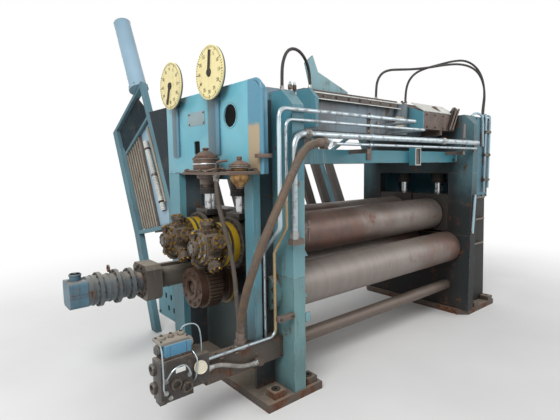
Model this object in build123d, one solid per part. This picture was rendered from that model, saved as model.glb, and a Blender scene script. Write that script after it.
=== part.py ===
"""Five-roll plate leveler, modelled in millimetres.

+X runs along the rolls, away from the drives.  +Y runs through the machine to
its back and +Z is up.  The origin is on the floor, in the middle of the four
main anchor bolts.
"""

import os
from math import atan2, cos, degrees, pi, sin, tan

from build123d import *

# Rolls
UPPER_ROLL_D = 370.0
LOWER_ROLL_D = 350.0
ROLL_PITCH = 488.0
PASS_GAP = 11.0
LOWER_ROLL_Z = 784.0
JOURNAL_D = 200.0
ROLL_END_ROUND = 24.0
RUNNING_FIT = 0.05
END_PLAY = 5.0

# Housings
CLEAR_SPAN = 2550.0
INNER_PLATE_T = 114.0
PLATE_GAP = 180.0
OUTER_PLATE_T = 63.0
HOUSING_DEPTH = 1520.0
HOUSING_TOP = 2290.0
BASE_T = 60.0
SILL_TOP = 930.0
WINDOW_TOP = 1640.0
CROSSHEAD_CHAMFER = 110.0
BEARING_BOSS_R = 140.0
BOSS_REACH = 61.0
SLIP_GAP = 1.0
WEB_T = 20.0
WEB_SET_OUT = 28.0
WEB_TOP_DROP = 60.0
SHELF_Z = 1696.0
SHELF_T = 40.0

# Outer panel and legs of the driven end
PANEL_RISE = 45.0
PANEL_FRONT_INSET = 45.0
PANEL_BACK_INSET = 50.0
PANEL_CORNER_R = 80.0
PANEL_RIB_W = 60.0
PANEL_RIB_T = 18.0
PANEL_RIB_Y = (-32.0, 590.0)
PANEL_ROUND_HOLE_R = 80.0
PANEL_ROUND_HOLE_Z = 2141.0
PANEL_SLOT = (65.0, 114.0)
PANEL_SLOT_YZ = (276.0, 1918.0)
FRONT_LEG_W = 102.0

# Base plates and anchor bolts
LEFT_BASE_OUTER_LIP = 9.0
LEFT_BASE_INNER_LIP = 168.0
LEFT_BASE_FRONT_LIP = 8.0
RIGHT_BASE_INNER_LIP = 35.0
RIGHT_BASE_OUTER_LIP = 30.0
RIGHT_BASE_FRONT_LIP = 3.0
RIGHT_BASE_CORNER = 90.0
ANCHOR_PAD = 104.0
ANCHOR_PAD_T = 50.0
ANCHOR_PAD_GAP = 8.0
ANCHOR_HOLE_R = 20.0
ANCHOR_SET_OUT = 126.0
LEFT_INNER_ANCHOR_SET_IN = 85.0
RIGHT_OUTER_ANCHOR_SET_IN = 50.0

# Casing of the idle end
CASING_W = 541.0
CASING_SET_BACK = 130.0
CASING_SPLIT_Z = 1350.0
CASING_WALL = 20.0
CASING_TAPER = 60.0
RUNG_Z = (793.0, 1087.0, 1346.0)
RUNG_R = 11.0
RUNG_REACH = 45.0
RUNG_INSET = 80.0
RUNG_BEND = 25.0

# Upper chocks, their rods and cylinders
CHOCK_GAP = 24.0
CHOCK_CLEARANCE = 6.0
CHOCK_REACH = 175.0
CHOCK_UP = 235.0
CHOCK_DOWN = 195.0
CHOCK_CHAMFER = 14.0
CHOCK_LUG_T = 50.0
CHOCK_LUG_W = 180.0
ROD_D = 90.0
ROD_LENGTH = 510.0
CYLINDER_D = 170.0
CYLINDER_LOW_Z = 1520.0
CYLINDER_HIGH_Z = 2210.0
CYLINDER_HEAD_T = 44.0
CYLINDER_HEAD_LIP = 5.0
CYLINDER_FLANGE_T = 30.0
CYLINDER_FLANGE_W = 250.0
LIFT_UP = 120.0

# Upper roll drives
DRUM_R = 170.0
DRUM_RING_R = 176.0
DRUM_RING_T = 40.0
DRUM_LENGTH = 230.0
DRUM_BAND_R = 161.0
DRUM_BANDS = ((34.0, 16.0), (176.0, 20.0))
MOTOR_HEADS = 5
MOTOR_CORE_R = 112.0
MOTOR_LENGTH = 150.0
MOTOR_BARREL_R = 44.0
MOTOR_FOOT = 104.0
MOTOR_FOOT_T = 16.0
MOTOR_REACH = 196.0
MOTOR_CAP_R = 52.0
MOTOR_CAP_T = 24.0
MOTOR_NOSE = ((84.0, 22.0), (58.0, 40.0))
MOTOR_PORT_R = 17.0
MOTOR_PORT_L = 92.0

# Open gear coupling on the middle lower roll
COUPLING_GAP = 30.0
COUPLING_TEETH = 36
COUPLING_TOOTH_R = 178.0
COUPLING_ROOT_R = 164.0
COUPLING_TOOTH_L = 120.0
COUPLING_DISC_R = 160.0
COUPLING_DISC_T = 70.0
COUPLING_LENGTH = 330.0
COUPLING_HUB_R = 110.0
COUPLING_RECESS_R = 62.0
COUPLING_RECESS_T = 26.0

# Drive of the rear lower roll, from the housing out to the motor
DRIVE_SHAFT_L = 456.0
DRIVE_SHAFT_R = 90.0
ARM_T = 135.0
ARM_HALF = 150.0
ARM_CORNER = 36.0
ARM_BRACKET_T = 55.0
ARM_BRACKET_INSET = 72.0
DRIVE_STAGES = ((79.0, 78.0), (30.0, 132.0), (85.0, 104.0), (27.0, 140.0), (110.0, 112.0), (30.0, 138.0), (83.0, 118.0))
DRIVE_MOTOR_L = 136.0
DRIVE_MOTOR_HALF = 104.0
DRIVE_MOTOR_ROUND = 34.0
DRIVE_CAP_R = 42.0
DRIVE_CAP_H = 52.0

# Cross members
TIE_BEAM_LOW_Z = 1765.0
TIE_BEAM_H = 115.0
TIE_BEAM_T = 120.0
TIE_BEAM_Y = 510.0
CROSS_TUBE_X = 382.0
CROSS_TUBE_W = 95.0
CROSS_TUBE_H = 172.0
CROSS_TUBE_WALL = 10.0
CROSS_TUBE_REACH = 70.0
TORSION_BAR_D = 116.0
TORSION_BAR_Y = 480.0
TORSION_BAR_Z = 325.0
GIRDER_LOW_Z = 2057.0
GIRDER_TOP_Z = 2390.0
GIRDER_HALF_DEPTH = 330.0
GIRDER_WEB_T = 30.0
GIRDER_PLATE_T = 20.0
GIRDER_OVERHANG = 60.0
GIRDER_LIP_H = 74.0
GIRDER_PLATE_SHORT = 120.0
GIRDER_BOSS_GAP = 2.0
GIRDER_BOSS_R = 88.0
STIFFENER_SET_IN = 310.0
STIFFENER_T = 40.0
STIFFENER_REACH = 230.0
STIFFENER_DROP = 16.0
STIFFENER_CHAMFER = 80.0
COVER_SET_IN = 45.0
COVER_L = 640.0
COVER_LOW_Z = 2110.0
COVER_FRONT_H = 175.0
ARM_PLATE_T = 20.0
ARM_PLATE_SET_BACK = 10.0
ARM_PLATE_XZ = ((-840.0, 229.0), (-756.0, 300.0), (-691.0, 168.0), (-304.0, 34.0), (-304.0, 0.0), (-770.0, 0.0))

# Accumulators on their shelf
ACC_SHELF_W = 240.0
ACC_SHELF_T = 16.0
ACC_SHELF_SET_IN = (10.0, 653.0)
ACC_GAP = 10.0
LARGE_ACC_SET_IN = 500.0
LARGE_ACC_R = 100.0
LARGE_ACC_H = 180.0
SMALL_ACC_SET_IN = 105.0
SMALL_ACC_R = 72.0
SMALL_ACC_H = 136.0
ACC_RING = 1.08
ACC_PIPE_R = 24.0
ACC_PIPE_L = 96.0

# Dials and their hands
DIAL_R = 195.0
DIAL_T = 20.0
DIAL_REACH = 58.0
DIAL_Z = 2446.0
LARGE_DIAL_Y = -200.0
SMALL_DIAL_Y = 455.0
DIAL_STUB_R = 24.0
DIAL_STUB_Z = 2292.0
DIAL_BOSS_R = 60.0
DIAL_BOSS_T = 40.0
HAND_L = 160.0
HAND_W = 26.0
HAND_T = 6.0
HAND_PIN_R = 8.0
HAND_GAP = 5.0
LARGE_HAND_TURN = 8.0
SMALL_HAND_TURN = 200.0

# Foot channel and hydraulic manifold
CHANNEL_W = 100.0
CHANNEL_LOW_Z = 305.0
CHANNEL_H = 165.0
CHANNEL_REACH = 428.0
CHANNEL_BOSS = (36.0, 62.0, 40.0)
CHANNEL_BOSS_OUT = 8.0
CHANNEL_BOSS_Z = 352.0
MANIFOLD_L = 330.0
MANIFOLD_OVERHANG = (70.0, 30.0)
MANIFOLD_LOW_Z = 215.0
MANIFOLD_H = 315.0
MANIFOLD_CHAMFER = 12.0
VALVE_L = 250.0
VALVE_W = 96.0
VALVE_H = 120.0
VALVE_END_R = 34.0
VALVE_END_L = 52.0

# Hydraulic tubes in front of the machine
TUBE_CLEARANCE = 10.0
CLAMP_SET_IN = (724.0, 225.0)
CLAMP_W = 40.0
CLAMP_T = 12.0
CLAMP_FOOT_H = 35.0
CLAMP_TOP_Z = 2165.0
FIRST_TUBE_R = 15.0
FIRST_TUBE_Z = 2138.0
FIRST_TUBE_OUT = 255.0
FIRST_TUBE_END_X = 130.0
SECOND_TUBE_R = 12.0
SECOND_TUBE_Z = 2068.0
SECOND_TUBE_OUT = 195.0
SECOND_TUBE_END_X = 290.0
TUBE_JOG_Z = (1320.0, 1120.0)
FIRST_TUBE_FOOT = (235.0, 64.0)
SECOND_TUBE_FOOT = (197.0, -14.0)
THIRD_TUBE_R = 24.0
THIRD_TUBE_Z = 1972.0
THIRD_TUBE_OUT = 129.0
THIRD_TUBE_LOW_Z = 1230.0
FOURTH_TUBE_R = 12.0
FOURTH_TUBE_Z = 1912.0
TUBE_BEND = 60.0
THIRD_TUBE_BEND = 95.0
TUBE_END_REACH = 25.0
HOSE_BLOCK_L = 55.0
HOSE_BLOCK_W = 91.0
HOSE_BLOCK_H = 60.0

# Inclined guard at the back, measured from the rear edge of the outer panel
GUARD_PAD_Z = (1180.0, 1360.0)
GUARD_APEX = (592.0, 2622.0)
GUARD_BACK = (1484.0, 2169.0)
GUARD_KNEE = (940.0, 1000.0)
GUARD_FOOT = 590.0
GUARD_RIM = 40.0
GUARD_CHANNEL_W = 120.0
GUARD_BRACE = ((431.0, 2245.0), (1092.0, 1897.0))
GUARD_BRACE_W = 34.0
GUARD_GUSSET_Z = 2300.0
GUARD_BARS = 10
GUARD_BAR_PITCH = 300.0
GUARD_BAR_W = 130.0
GUARD_BAR_T = 60.0
GUARD_RAIL = 80.0
GUARD_TUBE_R = 88.0
GUARD_TUBE_L = 860.0
GUARD_TUBE_EDGE = 30.0
GUARD_TUBE_COLLAR_R = 100.0
GUARD_TUBE_COLLAR_T = 24.0

# Hoses, each with its chosen route
BROWN_HOSE_R = 29.0
BROWN_HOSE = (
    (-1135.0, -832.0, 1912.0), (-1245.0, -832.0, 1912.0), (-1345.0, -848.0, 1868.0), (-1425.0, -862.0, 1790.0),
    (-1502.0, -868.0, 1672.0), (-1590.0, -868.0, 1522.0), (-1672.0, -864.0, 1378.0), (-1742.0, -842.0, 1225.0),
    (-1784.0, -806.0, 1070.0), (-1798.0, -752.0, 930.0), (-1786.0, -690.0, 802.0), (-1765.0, -630.0, 700.0),
    (-1756.0, -600.0, 602.0), (-1756.0, -600.0, 502.0))
FRONT_HOSE_R = 16.0
FRONT_HOSE = (
    (-1856.0, -500.0, 1696.0), (-1856.0, -500.0, 1596.0), (-1842.0, -500.0, 1478.0), (-1808.0, -500.0, 1348.0),
    (-1772.0, -503.0, 1212.0), (-1744.0, -504.0, 1080.0), (-1729.0, -508.0, 935.0), (-1724.0, -516.0, 785.0),
    (-1726.0, -532.0, 672.0), (-1732.0, -550.0, 570.0), (-1732.0, -550.0, 470.0))
MANIFOLD_HOSE_R = 14.0
MANIFOLD_HOSE = (
    (-2060.0, -664.0, 440.0), (-1988.0, -664.0, 440.0), (-1908.0, -667.0, 414.0), (-1822.0, -666.0, 376.0),
    (-1738.0, -661.0, 352.0), (-1658.0, -661.0, 352.0))
TOP_HOSE_R = 12.0
TOP_LEFT_HOSE = (
    (-1350.0, -610.0, 2290.0), (-1350.0, -610.0, 2385.0), (-1335.0, -600.0, 2490.0), (-1275.0, -575.0, 2585.0),
    (-1180.0, -535.0, 2635.0), (-1065.0, -490.0, 2642.0), (-960.0, -445.0, 2605.0), (-880.0, -400.0, 2545.0),
    (-842.0, -374.0, 2468.0), (-842.0, -374.0, 2390.0))
TOP_FRONT_HOSE = (
    (146.0, -300.0, 2390.0), (146.0, -300.0, 2480.0), (160.0, -300.0, 2580.0), (220.0, -308.0, 2665.0),
    (330.0, -320.0, 2710.0), (480.0, -336.0, 2730.0), (690.0, -360.0, 2756.0), (940.0, -392.0, 2800.0),
    (1220.0, -436.0, 2862.0), (1480.0, -476.0, 2900.0), (1690.0, -514.0, 2885.0), (1830.0, -545.0, 2810.0),
    (1890.0, -568.0, 2685.0), (1885.0, -585.0, 2555.0), (1850.0, -596.0, 2450.0), (1825.0, -602.0, 2370.0),
    (1825.0, -602.0, 2290.0))
TOP_REAR_HOSE = (
    (685.0, -280.0, 2390.0), (685.0, -280.0, 2490.0), (700.0, -284.0, 2595.0), (760.0, -292.0, 2690.0),
    (870.0, -306.0, 2765.0), (1020.0, -330.0, 2820.0), (1220.0, -362.0, 2878.0), (1450.0, -400.0, 2942.0),
    (1660.0, -436.0, 2975.0), (1840.0, -470.0, 2935.0), (1955.0, -500.0, 2835.0), (1995.0, -522.0, 2700.0),
    (1975.0, -538.0, 2570.0), (1930.0, -548.0, 2460.0), (1900.0, -555.0, 2370.0), (1900.0, -555.0, 2290.0))

half_span = CLEAR_SPAN / 2
half_depth = HOUSING_DEPTH / 2
inner_out = half_span + INNER_PLATE_T
outer_in = inner_out + PLATE_GAP
outer_face = outer_in + OUTER_PLATE_T
casing_out = inner_out + CASING_W
casing_front = half_depth - CASING_SET_BACK
panel_top = HOUSING_TOP + PANEL_RISE
panel_front = -(half_depth - PANEL_FRONT_INSET)
panel_back = half_depth - PANEL_BACK_INSET
chock_out = half_span + CHOCK_REACH
chock_w = ROLL_PITCH - CHOCK_GAP
window_half = ROLL_PITCH - CHOCK_GAP / 2 + CHOCK_CLEARANCE
web_y = window_half + WEB_SET_OUT
upper_roll_z = LOWER_ROLL_Z + LOWER_ROLL_D / 2 + PASS_GAP + UPPER_ROLL_D / 2
chock_top = upper_roll_z + CHOCK_UP
cylinder_x = inner_out + PLATE_GAP / 2
upper_rolls_y = (-ROLL_PITCH / 2, ROLL_PITCH / 2)
lower_rolls_y = (-ROLL_PITCH, 0.0, ROLL_PITCH)
anchor_y = casing_front + ANCHOR_PAD_GAP + ANCHOR_PAD / 2
anchor_x = inner_out + ANCHOR_SET_OUT
channel_y = (-web_y - WEB_T - CHANNEL_W, -web_y - WEB_T)
channel_top = CHANNEL_LOW_Z + CHANNEL_H
channel_end = -outer_face - CHANNEL_REACH
tube_back = -half_depth - TUBE_CLEARANCE
tube_end_x = half_span + TUBE_END_REACH
first_tube_x = -half_span - FIRST_TUBE_OUT
second_tube_x = -half_span - SECOND_TUBE_OUT
third_tube_x = -half_span - THIRD_TUBE_OUT
first_tube_foot = (-half_span - FIRST_TUBE_FOOT[0], channel_y[0] + FIRST_TUBE_FOOT[1])
second_tube_foot = (-half_span - SECOND_TUBE_FOOT[0], channel_y[0] + SECOND_TUBE_FOOT[1])
clamp_x = (-half_span + CLAMP_SET_IN[0], half_span - CLAMP_SET_IN[1])
manifold_y = (channel_y[0] - MANIFOLD_OVERHANG[0], channel_y[1] + MANIFOLD_OVERHANG[1])
acc_shelf_y = (panel_front + ACC_SHELF_SET_IN[0], panel_front + ACC_SHELF_SET_IN[1])
large_acc_y = panel_front + LARGE_ACC_SET_IN
small_acc_y = panel_front + SMALL_ACC_SET_IN
cover_x = (half_span - COVER_SET_IN - COVER_L, half_span - COVER_SET_IN)
girder_boss_x = cover_x[0] - GIRDER_BOSS_GAP - GIRDER_BOSS_R
plate_end_x = girder_boss_x - GIRDER_PLATE_SHORT
nodes = {}


def block(x, y, z):
    """A box between the pairs of limits x, y and z."""
    size = (x[1] - x[0], y[1] - y[0], z[1] - z[0])
    return Pos((x[0] + x[1]) / 2, (y[0] + y[1]) / 2, (z[0] + z[1]) / 2) * Box(*size)


def bar(start, end, radius):
    """A round bar between two points."""
    line = Vector(*end) - Vector(*start)
    plane = Plane(origin=start, z_dir=line)
    return plane * Cylinder(radius, line.length, align=(Align.CENTER, Align.CENTER, Align.MIN))


def bar_x(x, y, z, radius):
    """A round bar along X between the pair of limits x."""
    return bar((x[0], y, z), (x[1], y, z), radius)


def slab_x(points, x):
    """A plate with its outline in the YZ plane, between the pair of limits x."""
    outline = Plane.YZ.offset(x[0]) * make_face(Polyline(*points, close=True))
    return extrude(outline, x[1] - x[0])


def slab_y(points, y):
    """A plate with its outline in the XZ plane, between the pair of limits y."""
    outline = Plane.XZ.offset(-y[1]) * make_face(Polyline(*points, close=True))
    return extrude(outline, y[1] - y[0])


def tube(points, radius, bends):
    """A round tube along straight runs with tangent bends."""
    route = FilletPolyline(*points, radius=bends)
    start = Vector(*points[0])
    section = Plane(origin=start, z_dir=Vector(*points[1]) - start) * Circle(radius)
    return sweep(section, path=route)


def mirror_x(shape):
    """The same shape at the other end of the rolls."""
    return mirror(shape, about=Plane.YZ)


def mirror_y(shape):
    """The same shape on the other side, front or back."""
    return mirror(shape, about=Plane.XZ)


def group(shapes):
    """Separate solids that share a node."""
    return Compound(children=list(shapes))


def roll(diameter, y, z, left_end, right_end):
    """A roll with rounded shoulders and a journal at each end."""
    body = bar_x((-half_span + END_PLAY, half_span - END_PLAY), y, z, diameter / 2)
    body = fillet(body.edges().filter_by(GeomType.CIRCLE), ROLL_END_ROUND)
    return body + bar_x((-left_end, right_end), y, z, JOURNAL_D / 2)


def build_rolls():
    """The two upper and three lower rolls."""
    in_chock = chock_out - 2 * END_PLAY
    in_boss = inner_out + BOSS_REACH - 2 * END_PLAY
    in_plate = inner_out - 2 * END_PLAY
    for name, y in zip(("front", "rear"), upper_rolls_y):
        nodes[f"upper_{name}_roll"] = roll(UPPER_ROLL_D, y, upper_roll_z, in_chock, in_chock)
    ends = (in_boss, inner_out + BOSS_REACH + COUPLING_GAP, in_boss)
    for name, y, left_end in zip(("front", "middle", "rear"), lower_rolls_y, ends):
        nodes[f"lower_{name}_roll"] = roll(LOWER_ROLL_D, y, LOWER_ROLL_Z, left_end, in_plate)


def sill(reach, open_y):
    """A housing's lower plate with bearing bosses of the given reach; the bore at open_y goes through."""
    plate = block((-inner_out, -half_span), (-half_depth, half_depth), (BASE_T, SILL_TOP))
    for y in lower_rolls_y:
        if reach:
            plate += bar_x((-inner_out - reach, -inner_out), y, LOWER_ROLL_Z, BEARING_BOSS_R)
    for y in lower_rolls_y:
        deep = inner_out + reach if y == open_y else inner_out + reach - END_PLAY
        plate -= bar_x((-deep, -half_span), y, LOWER_ROLL_Z, JOURNAL_D / 2 + RUNNING_FIT)
    return plate


def posts():
    """The front and rear posts beside the window."""
    front = block((-inner_out, -half_span), (-half_depth, -window_half), (SILL_TOP, WINDOW_TOP))
    return [front, mirror_y(front)]


def crosshead():
    """The plate over the window, with both top corners cut off."""
    cut = half_depth - CROSSHEAD_CHAMFER
    low = HOUSING_TOP - CROSSHEAD_CHAMFER
    points = ((-half_depth, WINDOW_TOP), (half_depth, WINDOW_TOP), (half_depth, low),
              (cut, HOUSING_TOP), (-cut, HOUSING_TOP), (-half_depth, low))
    return slab_x(points, (-inner_out, -half_span))


def build_housings():
    """The inner plates of both housings."""
    nodes["left_sill"] = sill(BOSS_REACH, lower_rolls_y[1])
    nodes["right_sill"] = mirror_x(sill(0.0, None))
    nodes["left_posts"] = group(posts())
    nodes["right_posts"] = group(mirror_x(post) for post in posts())
    nodes["left_crosshead"] = crosshead()
    nodes["right_crosshead"] = mirror_x(crosshead())


def base_plate(x, half, bolts_x, corner):
    """A base plate with a raised square pad round each anchor hole."""
    plate = block(x, (-half, half), (0.0, BASE_T))
    if corner:
        plate = chamfer(plate.edges().filter_by(Axis.Z).group_by(Axis.X)[0], corner)
    spots = [(bolt_x, y) for bolt_x in bolts_x for y in (-anchor_y, anchor_y)]
    for spot in spots:
        plate += Pos(*spot, BASE_T + ANCHOR_PAD_T / 2) * Box(ANCHOR_PAD, ANCHOR_PAD, ANCHOR_PAD_T)
    for spot in spots:
        plate -= bar((*spot, 0.0), (*spot, BASE_T + ANCHOR_PAD_T), ANCHOR_HOLE_R)
    return plate


def build_bases():
    """The two base plates."""
    left_x = (-outer_face - LEFT_BASE_OUTER_LIP, -half_span + LEFT_BASE_INNER_LIP)
    left_bolts = (-anchor_x, -half_span + LEFT_INNER_ANCHOR_SET_IN)
    nodes["left_base_plate"] = base_plate(left_x, half_depth + LEFT_BASE_FRONT_LIP, left_bolts, 0.0)
    right_x = (half_span - RIGHT_BASE_INNER_LIP, casing_out + RIGHT_BASE_OUTER_LIP)
    right_bolts = (anchor_x, casing_out - RIGHT_OUTER_ANCHOR_SET_IN)
    right_half = anchor_y + ANCHOR_PAD / 2 + RIGHT_BASE_FRONT_LIP
    nodes["right_base_plate"] = base_plate(right_x, right_half, right_bolts, RIGHT_BASE_CORNER)


def cylinder_shelf(half):
    """The shelf that carries the two lift cylinders of one housing."""
    shelf = block((-outer_in, -inner_out), (-half, half), (SHELF_Z, SHELF_Z + SHELF_T))
    for y in upper_rolls_y:
        shelf -= bar((-cylinder_x, y, SHELF_Z), (-cylinder_x, y, SHELF_Z + SHELF_T), CYLINDER_D / 2 + SLIP_GAP)
    return shelf


def outer_panel():
    """The ribbed outer panel with its round corner, round hole and slot."""
    x = (-outer_face, -outer_in)
    panel = block(x, (panel_front, panel_back), (SHELF_Z, panel_top))
    corner = panel.edges().filter_by(Axis.X).group_by(Axis.Z)[-1].sort_by(Axis.Y)[0]
    panel = fillet(corner, PANEL_CORNER_R)
    for y in PANEL_RIB_Y:
        edge = (y - PANEL_RIB_W / 2, y + PANEL_RIB_W / 2)
        panel += block((-outer_face - PANEL_RIB_T, -outer_face), edge, (SHELF_Z, panel_top))
    panel -= bar_x(x, upper_rolls_y[0], PANEL_ROUND_HOLE_Z, PANEL_ROUND_HOLE_R)
    slot = Plane.YZ.offset(x[0]) * Pos(*PANEL_SLOT_YZ) * RectangleRounded(*PANEL_SLOT, PANEL_SLOT[0] / 3)
    return panel - extrude(slot, OUTER_PLATE_T)


def build_left_frame():
    """The outer panel of the driven end, its legs, and the webs and shelf behind it."""
    nodes["left_outer_panel"] = outer_panel()
    x = (-outer_face, -outer_in)
    front_leg = block(x, (-web_y - FRONT_LEG_W, -web_y), (channel_top, SHELF_Z))
    rear_leg = block(x, (web_y, panel_back), (BASE_T, SHELF_Z))
    rear_leg -= bar_x(x, ROLL_PITCH, LOWER_ROLL_Z, DRIVE_SHAFT_R + SLIP_GAP)
    nodes["left_outer_legs"] = group((front_leg, rear_leg))
    between = (-outer_in, -inner_out)
    web = block(between, (-web_y - WEB_T, -web_y), (BASE_T, HOUSING_TOP - WEB_TOP_DROP))
    beside_boss = (-inner_out - BOSS_REACH - SLIP_GAP, -inner_out)
    web -= bar_x(beside_boss, -ROLL_PITCH, LOWER_ROLL_Z, BEARING_BOSS_R + SLIP_GAP)
    rear_web = mirror_y(web) - bar_x(between, ROLL_PITCH, LOWER_ROLL_Z, DRIVE_SHAFT_R + SLIP_GAP)
    nodes["left_webs"] = cylinder_shelf(web_y) + web + rear_web
    nodes["right_cylinder_shelf"] = mirror_x(cylinder_shelf(casing_front - CASING_WALL))


def lift_cylinder(y):
    """A lift cylinder with its flange on the shelf, its heads and a bore for the rod."""
    low, high = CYLINDER_LOW_Z, CYLINDER_HIGH_Z
    shell = bar((-cylinder_x, y, low), (-cylinder_x, y, high), CYLINDER_D / 2 - CYLINDER_HEAD_LIP)
    shell += bar((-cylinder_x, y, low), (-cylinder_x, y, low + CYLINDER_HEAD_T), CYLINDER_D / 2)
    shell += bar((-cylinder_x, y, high - CYLINDER_HEAD_T), (-cylinder_x, y, high), CYLINDER_D / 2)
    seat = SHELF_Z + SHELF_T
    flange_x = (-cylinder_x - CYLINDER_D / 2, -cylinder_x + CYLINDER_D / 2)
    flange_y = (y - CYLINDER_FLANGE_W / 2, y + CYLINDER_FLANGE_W / 2)
    shell += block(flange_x, flange_y, (seat, seat + CYLINDER_FLANGE_T))
    depth = chock_top + ROD_LENGTH + LIFT_UP + END_PLAY
    return shell - bar((-cylinder_x, y, low), (-cylinder_x, y, depth), ROD_D / 2 + RUNNING_FIT)


def build_cylinders():
    """Two lift cylinders in each housing."""
    pair = [lift_cylinder(y) for y in upper_rolls_y]
    nodes["left_cylinders"] = group(pair)
    nodes["right_cylinders"] = group(mirror_x(cylinder) for cylinder in pair)


def chock(y):
    """An upper roll's bearing block with its blind bore and the lug under the rod."""
    width = (y - chock_w / 2, y + chock_w / 2)
    inner = half_span + END_PLAY
    body = block((-chock_out, -inner), width, (upper_roll_z - CHOCK_DOWN, chock_top))
    body = chamfer(body.edges().filter_by(Axis.X), CHOCK_CHAMFER)
    lug_y = (y - CHOCK_LUG_W / 2, y + CHOCK_LUG_W / 2)
    lug_x = (-outer_in + END_PLAY, -chock_out)
    body += block(lug_x, lug_y, (chock_top - CHOCK_LUG_T, chock_top))
    bore_end = -chock_out + END_PLAY
    return body - bar_x((bore_end, -inner), y, upper_roll_z, JOURNAL_D / 2 + RUNNING_FIT)


def rod(y):
    """The rod of a lift cylinder, standing on its chock."""
    return bar((-cylinder_x, y, chock_top), (-cylinder_x, y, chock_top + ROD_LENGTH), ROD_D / 2)


def gear_drum(y):
    """The planetary gear's banded drum with its mounting ring."""
    ring_end = -chock_out - DRUM_RING_T
    ring = bar_x((ring_end, -chock_out), y, upper_roll_z, DRUM_RING_R)
    drum = bar_x((ring_end - DRUM_LENGTH, ring_end), y, upper_roll_z, DRUM_R)
    for place, width in DRUM_BANDS:
        band = (ring_end - place - width, ring_end - place)
        groove = bar_x(band, y, upper_roll_z, DRUM_RING_R) - bar_x(band, y, upper_roll_z, DRUM_BAND_R)
        drum -= groove
    return ring + drum


def star_motor(y):
    """A radial-piston motor: a round crankcase with one capped barrel for each piston."""
    face = -chock_out - DRUM_RING_T - DRUM_LENGTH
    outer = face - MOTOR_LENGTH
    motor = bar_x((outer, face), y, upper_roll_z, MOTOR_CORE_R)
    motor = chamfer(motor.edges().filter_by(GeomType.CIRCLE), MOTOR_FOOT_T)
    centre = Vector((outer + face) / 2, y, upper_roll_z)
    for index in range(MOTOR_HEADS):
        angle = pi / 2 + index * 2 * pi / MOTOR_HEADS
        outward = Vector(0, cos(angle), sin(angle))
        foot = Plane(origin=centre + outward * (MOTOR_CORE_R - MOTOR_FOOT_T), x_dir=(1, 0, 0), z_dir=outward)
        motor += foot * Box(MOTOR_FOOT, MOTOR_FOOT, 2 * MOTOR_FOOT_T, align=(Align.CENTER, Align.CENTER, Align.MIN))
        neck = centre + outward * (MOTOR_REACH - MOTOR_CAP_T)
        motor += bar(tuple(centre), tuple(neck), MOTOR_BARREL_R)
        motor += bar(tuple(neck), tuple(centre + outward * MOTOR_REACH), MOTOR_CAP_R)
    start = outer
    for radius, length in MOTOR_NOSE:
        motor += bar_x((start - length, start), y, upper_roll_z, radius)
        start -= length
    port_x = start + MOTOR_NOSE[-1][1] / 2
    for side in (-1, 1):
        port_end = (port_x, y, upper_roll_z + side * MOTOR_PORT_L)
        motor += bar((port_x, y, upper_roll_z), port_end, MOTOR_PORT_R)
    return motor


def build_carriers():
    """Each upper roll's chocks, rods, gear drum and motor."""
    for name, y in zip(("upper_front", "upper_rear"), upper_rolls_y):
        nodes[f"{name}_chocks"] = group((chock(y), mirror_x(chock(y))))
        nodes[f"{name}_rods"] = group((rod(y), mirror_x(rod(y))))
        nodes[f"{name}_gear_drum"] = gear_drum(y)
        nodes[f"{name}_motor"] = star_motor(y)


def build_gear_coupling():
    """The open toothed coupling on the middle lower roll."""
    start = -inner_out - BOSS_REACH - COUPLING_GAP
    end = start - COUPLING_LENGTH
    y = lower_rolls_y[1]
    coupling = bar_x((end, start), y, LOWER_ROLL_Z, COUPLING_HUB_R)
    coupling += bar_x((end, end + COUPLING_DISC_T), y, LOWER_ROLL_Z, COUPLING_DISC_R)
    coupling += bar_x((start - COUPLING_DISC_T, start), y, LOWER_ROLL_Z, COUPLING_DISC_R)
    coupling -= bar_x((end, end + COUPLING_RECESS_T), y, LOWER_ROLL_Z, COUPLING_RECESS_R)
    tooth_w = pi * COUPLING_ROOT_R / COUPLING_TEETH
    depth = COUPLING_TOOTH_R - COUPLING_ROOT_R
    tooth = Pos(COUPLING_ROOT_R, 0) * Rectangle(2 * depth, tooth_w)
    profile = Circle(COUPLING_ROOT_R) + PolarLocations(0, COUPLING_TEETH) * tooth
    plane = Plane(origin=(end + COUPLING_DISC_T, y, LOWER_ROLL_Z), x_dir=(0, 1, 0), z_dir=(1, 0, 0))
    nodes["middle_gear_coupling"] = coupling + extrude(plane * profile, COUPLING_TOOTH_L)


def build_rear_drive():
    """The shaft tube, torque arm, gear stages and motor of the rear lower roll."""
    y = ROLL_PITCH
    z = LOWER_ROLL_Z
    start = -inner_out - BOSS_REACH
    arm_near = start - DRIVE_SHAFT_L
    arm_far = arm_near - ARM_T
    shaft = bar_x((arm_near, start), y, z, DRIVE_SHAFT_R)
    arm = block((arm_far, arm_near), (y - ARM_HALF, y + ARM_HALF), (z - ARM_HALF, z + ARM_HALF))
    arm = chamfer(arm.edges().filter_by(Axis.X), ARM_CORNER)
    top = z + ARM_HALF - ARM_CORNER
    bracket_y = (web_y, y + ARM_BRACKET_INSET)
    arm += block((arm_near, -outer_face), bracket_y, (top - ARM_BRACKET_T, top))
    nodes["torque_arm"] = arm + shaft
    train = None
    reach = arm_far
    for length, radius in DRIVE_STAGES:
        stage = bar_x((reach - length, reach), y, z, radius)
        train = stage if train is None else train + stage
        reach -= length
    nodes["rear_drive_gear"] = train
    half = DRIVE_MOTOR_HALF
    motor = block((reach - DRIVE_MOTOR_L, reach), (y - half, y + half), (z - half, z + half))
    motor = fillet(motor.edges().filter_by(Axis.X), DRIVE_MOTOR_ROUND)
    cap_x = reach - DRIVE_MOTOR_L / 2
    nodes["rear_drive_motor"] = motor + bar((cap_x, y, z + half), (cap_x, y, z + half + DRIVE_CAP_H), DRIVE_CAP_R)


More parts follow.
